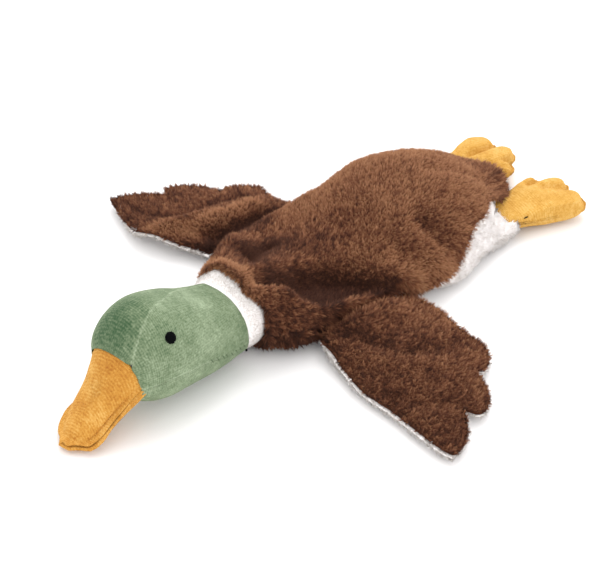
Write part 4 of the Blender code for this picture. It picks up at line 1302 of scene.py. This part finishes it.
def fold_wing(points, side, lip=0.0):
    """Folds of the slack wings; the far wing is bunched up and reaches further forward."""
    moved = points.copy()
    out = np.abs(points[:, 0])
    root = ease(-out, -0.066, -0.050)
    front = ease(-points[:, 1], 0.058, 0.068)
    if side > 0:
        moved[:, 1] -= (0.0035 * front * (1 - ease(out, 0.085, 0.112))
                        + lip * front * ease(out, 0.051, 0.056))
        trailing = ease(points[:, 1], -0.016, -0.005)
        bulge = np.exp(-((out - 0.072) / 0.012) ** 2)
        moved[:, 1] += 0.0030 * trailing * bulge
        notch = ease(points[:, 1], -0.034, -0.004) * np.exp(-((out - 0.048) / 0.009) ** 2)
        moved[:, 1] -= 0.0085 * notch
        lift = 4.5 * MM * root * ease(points[:, 1], -0.074, -0.050)
        lift *= 1 - ease(points[:, 1], -0.032, -0.012)
        lift += ridge(points, NEAR_RIDGE, 1.5, 6.0) - ridge(points, NEAR_BAND, 1.6, 5.5)
        lift -= ridge(points, NEAR_LOW_BAND, 1.2, 5.0)
    else:
        front = ease(-points[:, 1], 0.025, 0.075)
        reach = 1 - ease(out, 0.075, 0.112)
        moved[:, 1] -= FAR_FRONT_EDGE * front * reach
        moved[:, 1] -= lip * ease(-points[:, 1], 0.066, 0.074)
        moved[:, 0] -= 0.003 * ease(out, 0.085, 0.115)
        if lip:
            moved[:, 0] += 0.0028 * ease(out, 0.098, 0.116)
            moved[:, 1] += 0.0024 * ease(out, 0.092, 0.106) * ease(-points[:, 1], 0.066, 0.074)
        line = np.array(FAR_FRONT_LINE) * MM
        edge = np.interp(out, line[:, 0], line[:, 1])
        lift = ridge(points, FAR_RIDGE, 5.5, 5.5) - ridge(points, FAR_VALLEY, 3.0, 5.0)
        lift -= ridge(points, FAR_OUTER_VALLEY, 3.0, 5.0)
        lift -= ridge(points, FAR_TIP_NOTCH, 2.0, 2.2)
        lift *= ease(moved[:, 1] - edge, 0.001, 0.009)
    lift += 0.0008 * np.array([lump(point, 0.018, 12.0) for point in points])
    upper = ease(points[:, 2], 0.0040, 0.0075)
    moved[:, 2] = np.maximum(points[:, 2] + lift * upper, np.minimum(points[:, 2], 0.0042))
    return moved


def wing_length(points, ups):
    """Shorter at the rims, and longer where the wing is sewn to the body."""
    rim = 1 - ease(np.abs(ups[:, 2]), 0.20, 0.75)
    return 1 - 0.50 * rim + 0.4 * ease(-np.abs(points[:, 0]), -0.056, -0.048)


def near_wing_painted_light(points, ups):
    # Drawn a step darker all over, with painted shade in the lowered bands and a painted highlight
    # along the raised ridge.
    tone = -0.14 - ridge(points, NEAR_BAND, 0.22 / MM, 5.5)
    tone += ridge(points, NEAR_RIDGE, 0.18 / MM, 5.0)
    return tone - ridge(points, NEAR_LOW_BAND, 0.15 / MM, 5.0)


def far_wing_painted_light(points, ups):
    # Drawn a step darker all over, with painted shade in the valleys and the tip's notch and a
    # painted highlight along the raised ridge.
    tone = -0.30 - ridge(points, FAR_VALLEY, 0.80 / MM, 4.5)
    tone -= ridge(points, FAR_OUTER_VALLEY, 0.25 / MM, 5.0)
    tone -= ridge(points, FAR_TIP_NOTCH, 0.5 / MM, 2.0)
    return tone + ridge(points, FAR_RIDGE, 0.95 / MM, 6.0)


def make_wing(side_name):
    side = 1 if side_name == "left" else -1
    body = side_name + "_wing"
    bend = bends()

    def outward(points, ups):
        """The nap fans out to the feathers' tips."""
        flow = points - np.array([side * 0.040, -0.050, 0.0])
        flow[:, 2] = 0.0
        rim = 1 - ease(np.abs(ups[:, 2]), 0.25, 0.80)
        return unit(flow) * (1 - 0.6 * rim)[:, None] + np.outer(1.3 * rim, (0.0, 0.0, 1.0))

    for part, surface in (("_top", "brown_ground"), ("_underside", "white_ground")):
        own = body + part
        other = body + ("_underside" if part == "_top" else "_top")
        cloth = soften(shell_copy(own + "_cloth", own), 0.0004, DETAIL)
        shown = open_points(cloth, nodes(other), NEAR_CLOTH)
        weight = sink(cloth, nodes(other), 0.0013 if part == "_top" else 0.0008)
        add_values(cloth.data, "outer", weight if part == "_top" else shown)
        lip = UNDERSIDE_LIP[side] if part == "_underside" else 0.0
        move_points(cloth, fold_wing(points_of(cloth), side, lip))
        dress(cloth, surface)
        bend(cloth)
        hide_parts(own)
        if part == "_top":
            piles = [grow(own + "_pile", cloth, WING_BROWN, outward, 41, anywhere, bend,
                          wing_length, near_wing_painted_light if side > 0 else far_wing_painted_light)]
        else:
            piles = [grow(own + "_pile", cloth, WHITE_SPARSE, outward, 42,
                          lambda c, f: f[:, 2] <= -0.90, bend),
                     grow(own + "_rim_pile", cloth, WHITE_RIM, outward, 43,
                          lambda c, f: (f[:, 2] > -0.90) & (np.abs(c[:, 0]) > WING_ROOT_EDGE),
                          bend)]


# Legs and feet

LEG_SWELL = 0.0028
LEG_REACH = 0.0070


def leg_length(points, ups):
    """Longer where the leg leaves the belly."""
    outer = ease(np.abs(points[:, 0]), 0.018, 0.026) * (1 - ease(points[:, 2], 0.0070, 0.0100))
    return 0.85 + 0.15 * outer + 1.2 * outer * (1 - ease(points[:, 1], 0.058, 0.072))


def make_leg(side_name):
    own = side_name + "_leg"
    cloth = soften(shell_copy(own + "_cloth", own), 0.0004, 1)
    add_values(cloth.data, "outer", open_points(cloth, nodes(own + "_filling"), NEAR_CLOTH))
    sink(cloth, nodes(own + "_filling"), 0.0010)
    points = points_of(cloth)
    side = math.copysign(1.0, joint(side_name + "_foot_flap")["pos_m"][0])
    swell = ease(side * points[:, 0], 0.024, 0.033) * (1 - ease(points[:, 1], 0.066, 0.080))
    points[:, 0] += side * LEG_SWELL * swell * ease(points[:, 2], 0.0005, 0.004)
    points[:, 1] -= LEG_REACH * (1 - ease(points[:, 1], 0.058, 0.072))
    move_points(cloth, points)
    pad(cloth, "white_ground", "torso", own)
    grow(own + "_pile", cloth, WHITE, backward, 51, anywhere, rides("torso"), leg_length)
    make_wadding(own + "_filling", "torso")


FOOT_PUFF = 0.0030
FOOT_CHANNELS = {"left": (((13, 100), (12, 107), (9, 118)), ((21, 103), (24, 111), (25, 121))),
                 "right": (((-28, 94), (-28, 101), (-29, 112)), ((-15, 93), (-11, 101), (-8, 110)))}
FAR_FOOT_SHARE = 0.95
FOOT_ROOT = 0.0080
FOOT_ROOT_LIFT = 0.0025
FOOT_STITCH = ((34.6, 76.4, 12.3), (35.2, 77.4, 13.0), (35.3, 78.4, 13.1), (35.0, 79.3, 12.5))


def puff_toes(points, side_name):
    """Plump toes between the sewn channels, and a plump instep."""
    hinge = joint(side_name + "_foot_flap")["pos_m"]
    height = ease(points[:, 2], hinge[2] + 0.0005, hinge[2] + 0.0035)
    forward = ease(points[:, 1], hinge[1] + 0.004, hinge[1] + 0.016)
    sewn = sum(ridge(points, line, 3.2, 2.2) for line in FOOT_CHANNELS[side_name])
    points[:, 2] += height * (FOOT_PUFF * forward - sewn)
    return points


def make_foot(side_name):
    body = side_name + "_foot"
    hinge = Vector(joint(side_name + "_foot_flap")["pos_m"])
    for part in ("_top", "_sole"):
        own = body + part
        other = body + ("_sole" if part == "_top" else "_top")
        cloth = shell_copy(own + "_velvet", own)
        close_seams(cloth, nodes(other))
        soften(cloth, 0, DETAIL + 1, crisp=0.8)
        points = points_of(cloth)
        add_weave(cloth, points[:, 0], points[:, 1] + 0.1 * points[:, 0])
        edge = ruffle(cloth, nodes(other), points[:, 0] + points[:, 1], flat_inward(hinge.z),
                      valley=0.0005, pucker=0.0005, swell=0.0004)
        wrinkle(cloth, 0.010, 0.0005, 9.0)
        points = points_of(cloth)
        sewn = np.min([along_line(points, line)[0] for line in FOOT_CHANNELS[side_name]], axis=0)
        if part == "_top":
            points = puff_toes(points, side_name)
            edge = np.minimum(edge, sewn)
        inner = ease(-points[:, 0] * math.copysign(1.0, hinge.x), -abs(hinge.x) - 0.0185,
                     -abs(hinge.x) - 0.0090)
        inner *= ease(points[:, 2], hinge.z - 0.002, hinge.z + 0.001)
        root = inner * (1 - ease(points[:, 1], hinge.y + 0.002, hinge.y + 0.014))
        points[:, 1] -= FOOT_ROOT * root
        points[:, 2] += FOOT_ROOT_LIFT * root
        if side_name == "right":
            points[:, 1] = hinge.y + (points[:, 1] - hinge.y) * FAR_FOOT_SHARE
        move_points(cloth, points)
        # Painted shade along the foot's seam groove and its sewn channels.
        add_nap(cloth, [], 0.55, edge, -0.16)
        pad(cloth, "pale_yellow", body, own)
    make_wadding(body + "_filling", body)


def make_foot_stitch():
    """A loose dark stitch in the near foot's side seam."""
    path = [Vector(spot) * MM for spot in FOOT_STITCH]
    stitch = thread("foot_stitch", [path], 0.00034, "black")
    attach(stitch, "left_foot")


make_head()
make_closing_stitches()
make_foot_stitch()
make_ring()
for side_name in ("left", "right"):
    make_eye(side_name)
    make_wing(side_name)
    make_leg(side_name)
    make_foot(side_name)
